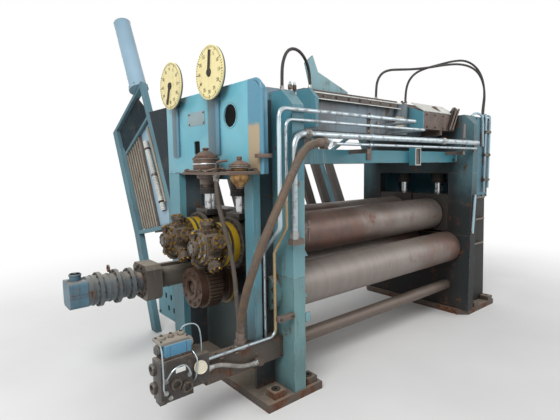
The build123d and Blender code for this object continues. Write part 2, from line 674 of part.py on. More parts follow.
def rung(z):
    """One bent rung on the front of the lower casing."""
    front = -casing_front
    x = (inner_out + RUNG_INSET, casing_out - CASING_TAPER - RUNG_INSET)
    y = front - RUNG_REACH
    return tube(((x[0], front, z), (x[0], y, z), (x[1], y, z), (x[1], front, z)), RUNG_R, RUNG_BEND)


def build_right_casing():
    """The casing of the idle end, with its rungs."""
    depth = (-casing_front, casing_front)
    inside = (-casing_front + CASING_WALL, casing_front - CASING_WALL)
    upper = block((inner_out, casing_out), depth, (CASING_SPLIT_Z, HOUSING_TOP))
    upper -= block((inner_out, casing_out - CASING_WALL), inside, (CASING_SPLIT_Z, HOUSING_TOP - CASING_WALL))
    nodes["right_upper_casing"] = upper
    top_x = casing_out - CASING_TAPER
    points = ((inner_out, BASE_T), (casing_out, BASE_T), (top_x, CASING_SPLIT_Z), (inner_out, CASING_SPLIT_Z))
    lower = slab_y(points, depth)
    nodes["right_lower_casing"] = lower - block((inner_out, top_x - CASING_WALL), inside, (BASE_T, CASING_SPLIT_Z))
    nodes["right_rungs"] = group(rung(z) for z in RUNG_Z)


def build_tie_beams():
    """The tie beams over the pass, the cross tube in the front one and the bars near the floor."""
    span = (-half_span, half_span)
    top = TIE_BEAM_LOW_Z + TIE_BEAM_H
    beam = block(span, (-TIE_BEAM_Y - TIE_BEAM_T / 2, -TIE_BEAM_Y + TIE_BEAM_T / 2), (TIE_BEAM_LOW_Z, top))
    nodes["rear_tie_beam"] = mirror_y(beam)
    place = Pos(CROSS_TUBE_X, -TIE_BEAM_Y - (TIE_BEAM_T + CROSS_TUBE_REACH) / 2, (TIE_BEAM_LOW_Z + top) / 2)
    outside = Box(CROSS_TUBE_W, CROSS_TUBE_REACH, CROSS_TUBE_H)
    hollow = Box(CROSS_TUBE_W - 2 * CROSS_TUBE_WALL, CROSS_TUBE_REACH, CROSS_TUBE_H - 2 * CROSS_TUBE_WALL)
    nodes["front_tie_beam"] = beam + place * (outside - hollow)
    bars = [bar_x(span, y, TORSION_BAR_Z, TORSION_BAR_D / 2) for y in (-TORSION_BAR_Y, TORSION_BAR_Y)]
    nodes["torsion_bars"] = group(bars)


def build_girder():
    """The top girder: webs with a boss, stiffeners and cover, and the lipped plate with the arm on it."""
    span = (-half_span, half_span)
    deep = GIRDER_HALF_DEPTH
    under = GIRDER_TOP_Z - GIRDER_PLATE_T
    web = block(span, (-deep, -deep + GIRDER_WEB_T), (GIRDER_LOW_Z, under))
    boss = bar((girder_boss_x, -deep, GIRDER_LOW_Z), (girder_boss_x, -deep, under), GIRDER_BOSS_R)
    boss -= block(span, (-deep, deep), (GIRDER_LOW_Z, under))
    nodes["girder_webs"] = group((web + boss, mirror_y(web)))
    top = GIRDER_TOP_Z - STIFFENER_DROP
    tip = -deep - STIFFENER_REACH
    points = ((-deep, GIRDER_LOW_Z), (tip, GIRDER_LOW_Z), (tip, top - STIFFENER_CHAMFER),
              (tip + STIFFENER_CHAMFER, top), (-deep, top))
    plate_x = -half_span + STIFFENER_SET_IN + STIFFENER_T
    stiffener = slab_x(points, (plate_x - STIFFENER_T, plate_x))
    points = ((-deep, COVER_LOW_Z), (tip, COVER_LOW_Z), (tip, COVER_LOW_Z + COVER_FRONT_H), (-deep, top))
    right_front = mirror_x(stiffener) + slab_x(points, cover_x)
    nodes["girder_stiffeners"] = group((stiffener, right_front, mirror_y(stiffener), mirror_y(mirror_x(stiffener))))
    wide = (-deep - GIRDER_OVERHANG, deep + GIRDER_OVERHANG)
    plate = block((plate_x, plate_end_x), wide, (under, GIRDER_TOP_Z))
    lip_z = (GIRDER_TOP_Z - GIRDER_LIP_H, GIRDER_TOP_Z)
    lip = block((plate_x, plate_end_x), (wide[0], wide[0] + GIRDER_PLATE_T), lip_z)
    plate += lip + mirror_y(lip)
    plate += block((plate_end_x, half_span), (-deep, deep), (under, GIRDER_TOP_Z))
    outline = [(x, GIRDER_TOP_Z + z) for x, z in ARM_PLATE_XZ]
    arm_y = (-deep + ARM_PLATE_SET_BACK, -deep + ARM_PLATE_SET_BACK + ARM_PLATE_T)
    nodes["top_plate"] = plate + slab_y(outline, arm_y)


def accumulator(y, radius, height):
    """A domed accumulator with a clamp ring, standing on the shelf."""
    x = -outer_face - PANEL_RIB_T - ACC_GAP - radius * ACC_RING
    floor = SHELF_Z + ACC_SHELF_T
    middle = floor + height * 0.55
    dome = Pos(x, y, middle) * scale(Sphere(1.0), by=(radius, radius, height * 0.45))
    foot = bar((x, y, floor), (x, y, middle), radius / 3)
    ring = bar((x, y, middle - height / 14), (x, y, middle + height / 14), radius * ACC_RING)
    return foot + dome + ring


def build_accumulators():
    """The shelf with its pipes, and the two accumulators beside the outer panel."""
    x = (-outer_face - ACC_SHELF_W - PANEL_RIB_T, -outer_face)
    shelf = block(x, acc_shelf_y, (SHELF_Z, SHELF_Z + ACC_SHELF_T))
    for y, radius in ((large_acc_y, LARGE_ACC_R), (small_acc_y, SMALL_ACC_R)):
        pipe_x = -outer_face - PANEL_RIB_T - ACC_GAP - radius * ACC_RING
        shelf += bar((pipe_x, y, SHELF_Z - ACC_PIPE_L), (pipe_x, y, SHELF_Z), ACC_PIPE_R)
    nodes["accumulator_shelf"] = shelf
    large = accumulator(large_acc_y, LARGE_ACC_R, LARGE_ACC_H)
    small = accumulator(small_acc_y, SMALL_ACC_R, SMALL_ACC_H)
    nodes["accumulators"] = group((large, small))


def dial(y):
    """A dial facing -X, with its stub arm to the outer panel."""
    back = -outer_face - DIAL_REACH
    disc = bar_x((back - DIAL_T, back), y, DIAL_Z, DIAL_R)
    boss = bar_x((back, back + DIAL_BOSS_T), y, DIAL_Z, DIAL_BOSS_R)
    stub = bar_x((back, -outer_face), y, DIAL_STUB_Z, DIAL_STUB_R)
    bore = bar_x((back - DIAL_T, back + DIAL_BOSS_T / 2), y, DIAL_Z, HAND_PIN_R + RUNNING_FIT)
    return disc + boss + stub - bore


def hand(y, angle):
    """A dial's hand on its pin, turned by angle from straight up."""
    back = -outer_face - DIAL_REACH
    face = back - DIAL_T - HAND_GAP
    pin = bar_x((face, back), y, DIAL_Z, HAND_PIN_R)
    hub = bar_x((face - HAND_T, face), y, DIAL_Z, HAND_W)
    blade = block((face - HAND_T, face), (y - HAND_W / 2, y + HAND_W / 2), (DIAL_Z, DIAL_Z + HAND_L))
    return pin + hub + blade.rotate(Axis((0, y, DIAL_Z), (1, 0, 0)), angle)


def build_dials():
    """Both dials and their hands."""
    nodes["dials"] = group((dial(LARGE_DIAL_Y), dial(SMALL_DIAL_Y)))
    nodes["large_pointer"] = hand(LARGE_DIAL_Y, LARGE_HAND_TURN)
    nodes["small_pointer"] = hand(SMALL_DIAL_Y, SMALL_HAND_TURN)


def build_foot_hydraulics():
    """The channel at the foot of the driven end and the manifold that it carries."""
    channel = block((channel_end, -inner_out), channel_y, (CHANNEL_LOW_Z, channel_top))
    long, wide, high = CHANNEL_BOSS
    channel += Pos(-outer_face - CHANNEL_BOSS_OUT, channel_y[0] - wide / 2, CHANNEL_BOSS_Z) * Box(long, wide, high)
    end = BROWN_HOSE[-1]
    channel += bar((end[0], end[1], channel_top), end, BROWN_HOSE_R - SLIP_GAP)
    nodes["foot_channel"] = channel
    x = (channel_end - MANIFOLD_L, channel_end)
    top = MANIFOLD_LOW_Z + MANIFOLD_H
    manifold = chamfer(block(x, manifold_y, (MANIFOLD_LOW_Z, top)).edges().filter_by(Axis.X), MANIFOLD_CHAMFER)
    middle = (sum(x) / 2, sum(manifold_y) / 2)
    valve_z = (top, top + VALVE_H)
    valve_y = (middle[1] - VALVE_W / 2, middle[1] + VALVE_W / 2)
    manifold += block((middle[0] - VALVE_L / 2, middle[0] + VALVE_L / 2), valve_y, valve_z)
    axis_z = top + VALVE_H / 2
    for side in (-1, 1):
        near = middle[0] + side * VALVE_L / 2
        manifold += bar((near, middle[1], axis_z), (near + side * VALVE_END_L, middle[1], axis_z), VALVE_END_R)
    nodes["hydraulic_manifold"] = manifold


def build_tubes():
    """The four silver tubes across the front, their clamps and the block of the brown hose."""
    first_y = tube_back - FIRST_TUBE_R
    second_y = tube_back - SECOND_TUBE_R
    web_front = -GIRDER_HALF_DEPTH
    high, low = TUBE_JOG_Z
    first = ((*first_tube_foot, channel_top), (*first_tube_foot, low), (first_tube_x, first_y, high),
             (first_tube_x, first_y, FIRST_TUBE_Z), (FIRST_TUBE_END_X, first_y, FIRST_TUBE_Z),
             (FIRST_TUBE_END_X, web_front, FIRST_TUBE_Z))
    foot_z = channel_top + SECOND_TUBE_R + TUBE_CLEARANCE
    second = ((channel_end, second_tube_foot[1], foot_z), (*second_tube_foot, foot_z), (*second_tube_foot, low),
              (second_tube_x, second_y, high), (second_tube_x, second_y, SECOND_TUBE_Z),
              (SECOND_TUBE_END_X, second_y, SECOND_TUBE_Z), (SECOND_TUBE_END_X, web_front, SECOND_TUBE_Z))
    third_y = tube_back - THIRD_TUBE_R
    third = ((third_tube_x, third_y, THIRD_TUBE_LOW_Z), (third_tube_x, third_y, THIRD_TUBE_Z),
             (tube_end_x, third_y, THIRD_TUBE_Z))
    fourth_y = tube_back - FOURTH_TUBE_R
    hose_x, hose_z = BROWN_HOSE[0][0], BROWN_HOSE[0][2]
    block_x = (hose_x, hose_x + HOSE_BLOCK_L)
    hose_block = block(block_x, (tube_back - HOSE_BLOCK_W, tube_back), (hose_z - HOSE_BLOCK_H / 2, hose_z + HOSE_BLOCK_H / 2))
    tubes = [tube(first, FIRST_TUBE_R, TUBE_BEND), tube(second, SECOND_TUBE_R, TUBE_BEND)]
    tubes.append(tube(third, THIRD_TUBE_R, THIRD_TUBE_BEND))
    tubes.append(bar_x((block_x[1], tube_end_x), fourth_y, FOURTH_TUBE_Z, FOURTH_TUBE_R) + hose_block)
    nodes["silver_tubes"] = group(tubes)
    clamps = []
    beam_front = -TIE_BEAM_Y - TIE_BEAM_T / 2
    foot_top = TIE_BEAM_LOW_Z + TIE_BEAM_H
    for x in clamp_x:
        width = (x - CLAMP_W / 2, x + CLAMP_W / 2)
        clamp = block(width, (tube_back, tube_back + CLAMP_T), (foot_top - CLAMP_FOOT_H, CLAMP_TOP_Z))
        clamps.append(clamp + block(width, (tube_back + CLAMP_T, beam_front), (foot_top - CLAMP_FOOT_H, foot_top)))
    post_x = (third_tube_x - THIRD_TUBE_R - CLAMP_T, -half_span - INNER_PLATE_T / 2)
    clamps.append(block(post_x, (third_y - THIRD_TUBE_R, -half_depth), (THIRD_TUBE_LOW_Z - CLAMP_W, THIRD_TUBE_LOW_Z)))
    clamps.append(block(post_x, (tube_back, -half_depth), (WINDOW_TOP - CLAMP_W, WINDOW_TOP)))
    end_x = (half_span, tube_end_x)
    clamps.append(block(end_x, (tube_back, -half_depth), (FOURTH_TUBE_Z - CLAMP_W, THIRD_TUBE_Z + CLAMP_W)))
    nodes["tube_clamps"] = group(clamps)


def guard_side():
    """One side frame of the inclined guard, bolted to the housing and standing on its own leg."""
    x = (-outer_face, -outer_in)
    corners = [(0.0, GUARD_PAD_Z[0]), (0.0, GUARD_PAD_Z[1]), GUARD_APEX, GUARD_BACK, GUARD_KNEE]
    outline = make_face(Polyline(*corners, close=True))
    frame = outline - offset(outline, -GUARD_RIM)
    knee, back = Vector(*GUARD_KNEE), Vector(*GUARD_BACK)
    along = (back - knee).normalized()
    inward = Vector(-along.Y, along.X) * GUARD_CHANNEL_W
    channel = make_face(Polyline(knee, back, back + inward, knee + inward, close=True))
    start, end = (Vector(*point) for point in GUARD_BRACE)
    across = Vector(start.Y - end.Y, end.X - start.X).normalized() * GUARD_BRACE_W
    brace = make_face(Polyline(start, end, end + across, start + across, close=True))
    foot = Vector(GUARD_FOOT, 0.0)
    leg = make_face(Polyline(knee, foot, foot + Vector(-GUARD_CHANNEL_W, 0.0), knee + inward, close=True))
    frame += (channel + brace) & outline
    frame += leg
    side = extrude(Plane.YZ.offset(x[0]) * Pos(panel_back, 0) * frame, OUTER_PLATE_T)
    slope = GUARD_APEX[0] / (GUARD_APEX[1] - GUARD_PAD_Z[1])
    tip = (GUARD_GUSSET_Z - GUARD_PAD_Z[1]) * slope
    gusset = ((panel_back, GUARD_PAD_Z[1]), (panel_back, GUARD_GUSSET_Z), (panel_back + tip, GUARD_GUSSET_Z))
    return side + slab_x(gusset, (x[0], x[0] + GUARD_BRACE_W))


def build_guard():
    """The inclined guard at the back: two side frames, a grid of bars and the tube on top."""
    nodes["guard_left_frame"] = guard_side()
    seat = block((outer_in, outer_face), (casing_front, panel_back), GUARD_PAD_Z)
    nodes["guard_right_frame"] = mirror_x(guard_side()) + seat
    knee, back, apex = Vector(*GUARD_KNEE), Vector(*GUARD_BACK), Vector(*GUARD_APEX)
    low = Vector((knee.X + GUARD_RAIL) / 2, (knee.Y + GUARD_PAD_Z[0]) / 2 + GUARD_RAIL / 3)
    high = (apex + back) * 0.5 + Vector(0, -GUARD_RAIL * 0.6)
    middle = (low + high) * 0.5
    tilt = degrees(atan2(high.X - low.X, high.Y - low.Y))
    grid = None
    for spot in (low, high):
        rail = Pos(0, panel_back + spot.X, spot.Y) * Rot(-tilt, 0, 0) * Box(2 * outer_in, GUARD_RAIL, GUARD_RAIL)
        grid = rail if grid is None else grid + rail
    one = Rot(-tilt, 0, 0) * Box(GUARD_BAR_W, GUARD_BAR_T, (high - low).length)
    for index in range(GUARD_BARS):
        x = (index - (GUARD_BARS - 1) / 2) * GUARD_BAR_PITCH
        grid += Pos(x, panel_back + middle.X, middle.Y) * one
    nodes["guard_bars"] = grid
    edge = (back - apex).normalized()
    up = Vector(-edge.Y, edge.X)
    seat_point = apex + edge * (GUARD_TUBE_COLLAR_R + GUARD_TUBE_EDGE)
    x = -(outer_face + outer_in) / 2
    points = [seat_point, seat_point + up * GUARD_TUBE_COLLAR_T, seat_point + up * GUARD_TUBE_L]
    bottom, collar, top = ((x, panel_back + point.X, point.Y) for point in points)
    nodes["guard_tube"] = bar(bottom, collar, GUARD_TUBE_COLLAR_R) + bar(collar, top, GUARD_TUBE_R)


def hose(name, points, radius):
    """A hose along its chosen route, with arcs as large as the runs beside each point allow."""
    spots = [Vector(*point) for point in points]
    radii = []
    for before, here, after in zip(spots, spots[1:], spots[2:]):
        turn = (here - before).get_angle(after - here)
        shorter = min((here - before).length, (after - here).length)
        radii.append(0.45 * shorter / tan(turn * pi / 360))
    route = FilletPolyline(*spots, radius=radii)
    section = Plane(origin=spots[0], z_dir=spots[1] - spots[0]) * Circle(radius)
    solid = sweep(section, path=route)
    ratio = solid.volume / (pi * radius ** 2 * route.length)
    print(f"{name}: length {route.length:.0f}, smallest bend {min(radii):.0f}, volume ratio {ratio:.4f}")
    nodes[name] = solid


def build_hoses():
    """The hoses at the driven end and over the top."""
    hose("brown_hose", BROWN_HOSE, BROWN_HOSE_R)
    hose("front_hose", FRONT_HOSE, FRONT_HOSE_R)
    hose("manifold_hose", MANIFOLD_HOSE, MANIFOLD_HOSE_R)
    hose("top_left_hose", TOP_LEFT_HOSE, TOP_HOSE_R)
    hose("top_front_hose", TOP_FRONT_HOSE, TOP_HOSE_R)
    hose("top_rear_hose", TOP_REAR_HOSE, TOP_HOSE_R)


def main():
    """Build every piece and write one file for each."""
    for build in (build_rolls, build_housings, build_bases, build_left_frame, build_cylinders,
                  build_carriers, build_gear_coupling, build_rear_drive, build_right_casing,
                  build_tie_beams, build_girder, build_accumulators, build_dials,
                  build_foot_hydraulics, build_tubes, build_guard, build_hoses):
        build()
    os.makedirs("parts", exist_ok=True)
    for name, shape in nodes.items():
        export_step(shape, f"parts/{name}.step")


main()
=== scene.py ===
"""The looks of the roller leveler: finishes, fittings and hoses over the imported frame.

Every size is in metres. The machine's length runs along X, plate goes through along Y, and Z is up.
"""

from __future__ import annotations

import logging
import math
from dataclasses import dataclass, field
from enum import Enum
from functools import cache
from typing import Iterable, Sequence, Union

import bmesh
import bpy
from mathutils import Matrix, Vector


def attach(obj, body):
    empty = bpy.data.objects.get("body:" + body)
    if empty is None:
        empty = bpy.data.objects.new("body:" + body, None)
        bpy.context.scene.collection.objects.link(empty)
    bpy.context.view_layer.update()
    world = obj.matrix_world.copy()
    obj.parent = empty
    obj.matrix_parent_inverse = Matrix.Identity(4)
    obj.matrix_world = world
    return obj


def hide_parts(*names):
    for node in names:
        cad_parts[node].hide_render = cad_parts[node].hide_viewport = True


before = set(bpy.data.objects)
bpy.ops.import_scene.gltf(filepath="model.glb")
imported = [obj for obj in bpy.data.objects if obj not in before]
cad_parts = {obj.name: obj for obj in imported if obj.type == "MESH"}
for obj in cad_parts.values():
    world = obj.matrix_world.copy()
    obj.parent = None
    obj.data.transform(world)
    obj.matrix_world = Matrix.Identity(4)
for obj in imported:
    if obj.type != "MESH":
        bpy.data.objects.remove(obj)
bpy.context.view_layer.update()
log = logging.getLogger("roller_leveler")

Point = tuple[float, float, float]
Colour = tuple[float, float, float]
Corner = tuple[float, float]
Rect = tuple[float, float, float, float]

# Values that more than one part uses

MERGE = 1e-5
SHARP = math.radians(35)
LOWER_AXIS = 0.784
LOWER_ROWS = (-0.488, 0.0, 0.488)
PANEL_RIBS = ((-0.215, -0.055), (0.459, 0.571))


class Way(Enum):
    """The six directions that a fastener or a fitting may point in."""

    LEFT = (-1.0, 0.0, 0.0)
    RIGHT = (1.0, 0.0, 0.0)
    FRONT = (0.0, -1.0, 0.0)
    BACK = (0.0, 1.0, 0.0)
    DOWN = (0.0, 0.0, -1.0)
    UP = (0.0, 0.0, 1.0)


Direction = Union[Way, Sequence[float]]


def tint(code: str) -> Colour:
    """Turn a six-digit colour code into the linear values that a shader takes.

    Args:
        code: Red, green and blue as two hex digits each.

    Returns:
        The linear red, green and blue.
    """
    parts = [int(code[i : i + 2], 16) / 255 for i in (0, 2, 4)]
    return tuple(p / 12.92 if p <= 0.04045 else ((p + 0.055) / 1.055) ** 2.4 for p in parts)


# Shaders


class Sock:
    """A shader socket that takes Python arithmetic."""

    def __init__(self, tree: bpy.types.NodeTree, socket: bpy.types.NodeSocket) -> None:
        """Keep the node tree and its socket."""
        self.tree = tree
        self.socket = socket

    def _math(self, operation: str, first: Number, second: Number) -> Sock:
        """Add one Math node.

        Args:
            operation: The Math node's operation.
            first: Its first value.
            second: Its second value.

        Returns:
            The node's result.
        """
        node = self.tree.nodes.new("ShaderNodeMath")
        node.operation = operation
        for place, value in zip(node.inputs, (first, second)):
            feed(self.tree, place, value)
        return Sock(self.tree, node.outputs[0])

    def __add__(self, other: Number) -> Sock:
        """Add."""
        return self._math("ADD", self, other)

    __radd__ = __add__

    def __sub__(self, other: Number) -> Sock:
        """Subtract."""
        return self._math("SUBTRACT", self, other)

    def __rsub__(self, other: Number) -> Sock:
        """Subtract from a number."""
        return self._math("SUBTRACT", other, self)

    def __mul__(self, other: Number) -> Sock:
        """Multiply."""
        return self._math("MULTIPLY", self, other)

    __rmul__ = __mul__

    def __abs__(self) -> Sock:
        """Take the size without its sign."""
        return self._math("ABSOLUTE", self, 0.0)

    def least(self, other: Number) -> Sock:
        """Take the smaller of two values."""
        return self._math("MINIMUM", self, other)

    def most(self, other: Number) -> Sock:
        """Take the larger of two values."""
        return self._math("MAXIMUM", self, other)


Number = Union[Sock, float]
Feed = Union[Sock, float, Sequence[float]]


def feed(tree: bpy.types.NodeTree, place: bpy.types.NodeSocket, value: Feed) -> None:
    """Link a socket to a node's input, or set the input's value.

    Args:
        tree: The node tree.
        place: The input.
        value: A socket, a number, or a colour or vector.
    """
    if isinstance(value, Sock):
        tree.links.new(value.socket, place)
    elif place.type == "RGBA":
        place.default_value = (*value, 1.0) if len(value) == 3 else value
    else:
        place.default_value = value


class Shader:
    """The node tree of a material or of the world."""

    def __init__(self, owner: Union[bpy.types.Material, bpy.types.World]) -> None:
        """Empty the owner's node tree."""
        owner.use_nodes = True
        self.owner = owner
        self.tree = owner.node_tree
        self.tree.nodes.clear()

    def node(
        self, kind: str, settings: dict | None = None, values: dict | None = None, out: str | int = 0
    ) -> Sock:
        """Add any node.

        Args:
            kind: The node's type without its ShaderNode prefix.
            settings: Its properties, which are set first.
            values: The values or links of its inputs, by name or index.
            out: The output that is wanted.

        Returns:
            That output.
        """
        node = self.tree.nodes.new("ShaderNode" + kind)
        for key, value in (settings or {}).items():
            setattr(node, key, value)
        for key, value in (values or {}).items():
            feed(self.tree, node.inputs[key], value)
        return Sock(self.tree, node.outputs[out])

    def place(self) -> Sock:
        """Give the object's own coordinates."""
        return self.node("TexCoord", out="Object")

    def axis(self, name: str) -> Sock:
        """Give one of the object's own coordinates, X, Y or Z."""
        return self.node("SeparateXYZ", None, {0: self.place()}, out=name)

    def noise(
        self, size: float, detail: float, rough: float, stretch: Point = (1, 1, 1), seed: float = 0.0
    ) -> Sock:
        """Add a cloudy pattern.

        Args:
            size: The length of its largest patches.
            detail: How many finer layers it has.
            rough: How strong these are.
            stretch: How much it is squeezed along each axis.
            seed: Moves the pattern.

        Returns:
            A value from 0 to 1.
        """
        spot = (seed, seed * 1.7, seed * 0.6)
        scale = [share / size for share in stretch]
        where = self.node("Mapping", None, {"Vector": self.place(), "Location": spot, "Scale": scale})
        values = {"Vector": where, "Scale": 1.0, "Detail": detail, "Roughness": rough}
        return self.node("TexNoise", None, values)

    def step(self, value: Sock, low: float, high: float) -> Sock:
        """Rise smoothly from 0 at low to 1 at high."""
        values = {"Value": value, "From Min": low, "From Max": high}
        return self.node("MapRange", {"interpolation_type": "SMOOTHSTEP"}, values)

    def band(self, value: Sock, low: float, high: float, soft: float = 0.002) -> Sock:
        """Give 1 between low and high, with a soft edge."""
        return self.step(value, low - soft, low + soft) * (1 - self.step(value, high - soft, high + soft))

    def mix(self, mask: Number, under: Feed, over: Feed) -> Sock:
        """Lay one colour over another where the mask is 1."""
        return self.node("Mix", {"data_type": "RGBA"}, {0: mask, 6: under, 7: over}, out=2)

    def edges(self, radius: float) -> Sock:
        """Give 1 along worn outer edges and inner corners."""
        soft = self.node("Bevel", {"samples": 4}, {"Radius": radius})
        flat = self.node("NewGeometry", out="Normal")
        same = self.node("VectorMath", {"operation": "DOT_PRODUCT"}, {0: soft, 1: flat}, out="Value")
        return self.step(1 - same, 0.03, 0.22)

    def hollows(self, reach: float) -> Sock:
        """Give 1 deep in corners and behind other pieces, from ambient occlusion; the finishes darken their
        colour there, which paints shade.
        """
        return 1 - self.node("AmbientOcclusion", {"samples": 4}, {"Distance": reach}, out="AO")

    def tops(self) -> Sock:
        """Give 1 on surfaces that face up, where dust lies."""
        up = self.node("SeparateXYZ", None, {0: self.node("NewGeometry", out="Normal")}, out="Z")
        return self.step(up, 0.45, 0.95)

    def close(self, surface: Sock, kind: str = "Material") -> bpy.types.ID:
        """Link the surface to the tree's output of that kind, and give the owner."""
        out = self.tree.nodes.new("ShaderNodeOutput" + kind)
        self.tree.links.new(surface.socket, out.inputs["Surface"])
        return self.owner

    def finish(
        self, colour: Feed, rough: Feed, metal: Feed, height: Sock, depth: float, shine: float = 0.5
    ) -> bpy.types.Material:
        """Close the tree with the surface shader.

        Args:
            colour: The base colour.
            rough: The roughness.
            metal: How metallic it is.
            height: The relief, from 0 to 1.
            depth: The relief's depth in metres.
            shine: How strongly it mirrors light, from 0 to 1.

        Returns:
            The material.
        """
        bump = self.node("Bump", None, {"Strength": 0.8, "Distance": depth, "Height": height})
        values = {"Base Color": colour, "Roughness": rough, "Metallic": metal, "Normal": bump}
        values["Specular IOR Level"] = shine
        return self.close(self.node("BsdfPrincipled", None, values))


# Colours that the finishes share

RUST = "6E452C"
DARK_RUST = "3A261C"
RED_RUST = "6E4636"
DARK_RED_RUST = "4E3129"
# Grime; also the colour of the painted shade in hollows
GRIME_AND_SHADE = "2B2723"
OIL = "1F1A16"
CORNER_SHADE_AND_DIRT = "191512"
# Dirt and painted shade deep in corners
DUST = "9C9283"
# Colour that darkens the paint towards the bottom, and painted shade between the posts
LOW_DARK_AND_SHADE = "211D1C"
CHALK = "B9CDCF"
ROLLED_GREY = "5B544E"
BRIGHT_EDGE = "A39A8E"
CAST_EDGE = "9B8266"
BAY_BLUE = "47758F"
BARE_TAN = "B09A77"
# Painted shade and painted highlight on the panel's ribs
RIB_SHADE = "435B66"
LIT_RIB = "5D8FA8"
GUARD_SHADE = "1E252B"
COVER_BROWN = "4B3A31"
COVER_RUST = "5F4B40"
PALE_TURQUOISE = "86AEB6"
DRUM_BLACK = "1D1B19"
TUBE_PALE = "C3D6DE"
TUBE_TAN = "A48A5C"

# How softly the darkening towards the bottom and the painted shade between the posts start, in metres

LOW_BLUR = 0.22
INNER_BLUR = 0.09


@dataclass(frozen=True)
class WornPaint:
    """Machine paint that has faded, chipped, rusted and caught oil and dust; painted shade darkens its
    hollows and, on some parts, the faces between the posts, and some parts are darker towards the bottom.
    """

    name: str
    paint: str
    shade: str
    rusting: float = 0.3
    grime: float = 0.4
    gloss: float = 0.42
    dust: float = 0.35
    seed: float = 0.0
    # The next two fields darken the paint towards the bottom, below a height; the two after them paint shade
    # on the faces between the posts.
    low_soot: float = 0.0
    low_z: float = 1.0
    inner_soot: float = 0.0
    inner_y: float = 0.66
    shine: float = 0.5

    def zones(self, shader: Shader, colour: Sock) -> Sock:
        """Give the paint its zones of other colours, which plain paint hasn't."""
        return colour

    def sooted(self, shader: Shader, colour: Sock, patch: Sock) -> Sock:
        """Darken the paint towards the floor, and paint shade on the faces between the posts.

        Args:
            shader: The tree that is built.
            colour: The paint's colour so far.
            patch: A cloudy pattern that makes the darkening's edge ragged.

        Returns:
            The darker colour.
        """
        ragged = (patch - 0.5) * 0.35
        masks = []
        # Darker towards the bottom.
        if self.low_soot:
            low = 1 - shader.step(shader.axis("Z") + ragged, self.low_z - LOW_BLUR, self.low_z + LOW_BLUR)
            masks.append(low * self.low_soot)
        # Painted shade on the faces between the posts.
        if self.inner_soot:
            depth = abs(shader.axis("Y")) + ragged * 0.3
            inner = 1 - shader.step(depth, self.inner_y - INNER_BLUR, self.inner_y + INNER_BLUR)
            masks.append(inner * self.inner_soot)
        for mask in masks:
            colour = shader.mix(mask, colour, tint(LOW_DARK_AND_SHADE))
        return colour

    def make(self) -> bpy.types.Material:
        """Build the material."""
        s = Shader(bpy.data.materials.new(self.name))
        broad = s.noise(0.9, 3.0, 0.5, seed=self.seed)
        patch = s.noise(0.16, 7.0, 0.66, seed=self.seed + 3)
        grain = s.noise(0.012, 4.0, 0.6, seed=self.seed)
        runs = s.noise(0.045, 5.0, 0.6, (1, 1, 0.07), self.seed + 5)
        worn = s.edges(0.009)
        nook = s.hollows(0.16)
        colour = s.mix(s.step(broad, 0.32, 0.68), tint(self.paint), tint(self.shade))
        pale = s.step(runs * 0.6 + broad * 0.4, 0.56, 0.72) * 0.32
        colour = s.mix(pale, colour, tint(CHALK))
        colour = self.zones(s, colour)
        colour = s.mix(s.step(grain * 0.5 + patch * 0.5, 0.5, 0.68) * 0.22, colour, tint(DUST))
        colour = self.sooted(s, colour, patch)
        # Dark grime runs, and darkening deep in corners and behind other pieces, which is painted shade.
        dirt = runs * 0.55 + patch * 0.35 + broad * 0.2
        grime_shade_mask = s.step(dirt, 0.66 - 0.2 * self.grime, 0.86 - 0.2 * self.grime) * self.grime
        grime_shade_mask = (grime_shade_mask + s.step(nook, 0.2, 0.9) * (0.3 + 0.6 * self.grime)).least(0.92)
        colour = s.mix(grime_shade_mask, colour, tint(GRIME_AND_SHADE))
        level = 0.78 - 0.3 * self.rusting
        pits = patch * 0.72 + grain * 0.16 + runs * 0.2 + worn * 0.17 + nook * 0.08
        spots = s.step(pits, level, level + 0.05)
        rust = s.mix(s.step(grain, 0.35, 0.62), tint(DARK_RUST), tint(RUST))
        halo = s.step(patch * 0.72 + grain * 0.1 + runs * 0.22 + worn * 0.14, level - 0.08, level + 0.04)
        colour = s.mix(halo * 0.3, colour, tint(RUST))
        colour = s.mix(spots, colour, rust)
        colour = s.mix(worn * (1 - spots) * 0.3, colour, tint(CHALK))
        lying = s.tops() * s.step(patch * 0.6 + broad * 0.4, 0.25, 0.6) * self.dust
        colour = s.mix(lying, colour, tint(DUST))
        rough = s.mix(spots.most(lying), (self.gloss,) * 3, (0.85,) * 3)
        rough = rough + (patch - 0.5) * 0.25 + grime_shade_mask * 0.12
        height = grain * 0.22 + (1 - spots) * 0.5 + patch * 0.25
        return s.finish(colour, rough, spots * 0.15, height, 0.0016, self.shine)


@dataclass(frozen=True)
class PanelPaint(WornPaint):
    """The outer panel's paint: ribs in painted shade with a painted highlight on their left side, a
    steel-blue bay, and a bare tan patch below it.
    """

    def zones(self, shader: Shader, colour: Sock) -> Sock:
        """Lay the ribs' painted shade and highlight, the blue bay and the bare patch over the paint."""
        y, z, x = shader.axis("Y"), shader.axis("Z"), shader.axis("X")
        ragged = (shader.noise(0.05, 5.0, 0.6, seed=9) - 0.5) * 0.05
        bay = shader.band(y + ragged * 0.3, -0.760, -0.572, 0.008)
        colour = shader.mix(bay * 0.75, colour, tint(BAY_BLUE))
        side = shader.band(y + ragged * 0.3, -0.702, -0.572, 0.006)
        low = shader.band(z + ragged, 1.60, 2.035, 0.02) * side
        colour = shader.mix(low * 0.9, colour, tint(BARE_TAN))
        proud = 1 - shader.step(x, -1.6345, -1.6330)
        # Each rib is painted dark as shade, with a painted highlight over its left quarter.
        for start, end in PANEL_RIBS:
            rib = shader.band(y, start - 0.002, end + 0.002, 0.002) * proud
            colour = shader.mix(rib * 0.9, colour, tint(RIB_SHADE))
            lit = shader.band(y, start - 0.002, start + (end - start) * 0.26, 0.006) * proud
            colour = shader.mix(lit * 0.6, colour, tint(LIT_RIB))
        return colour


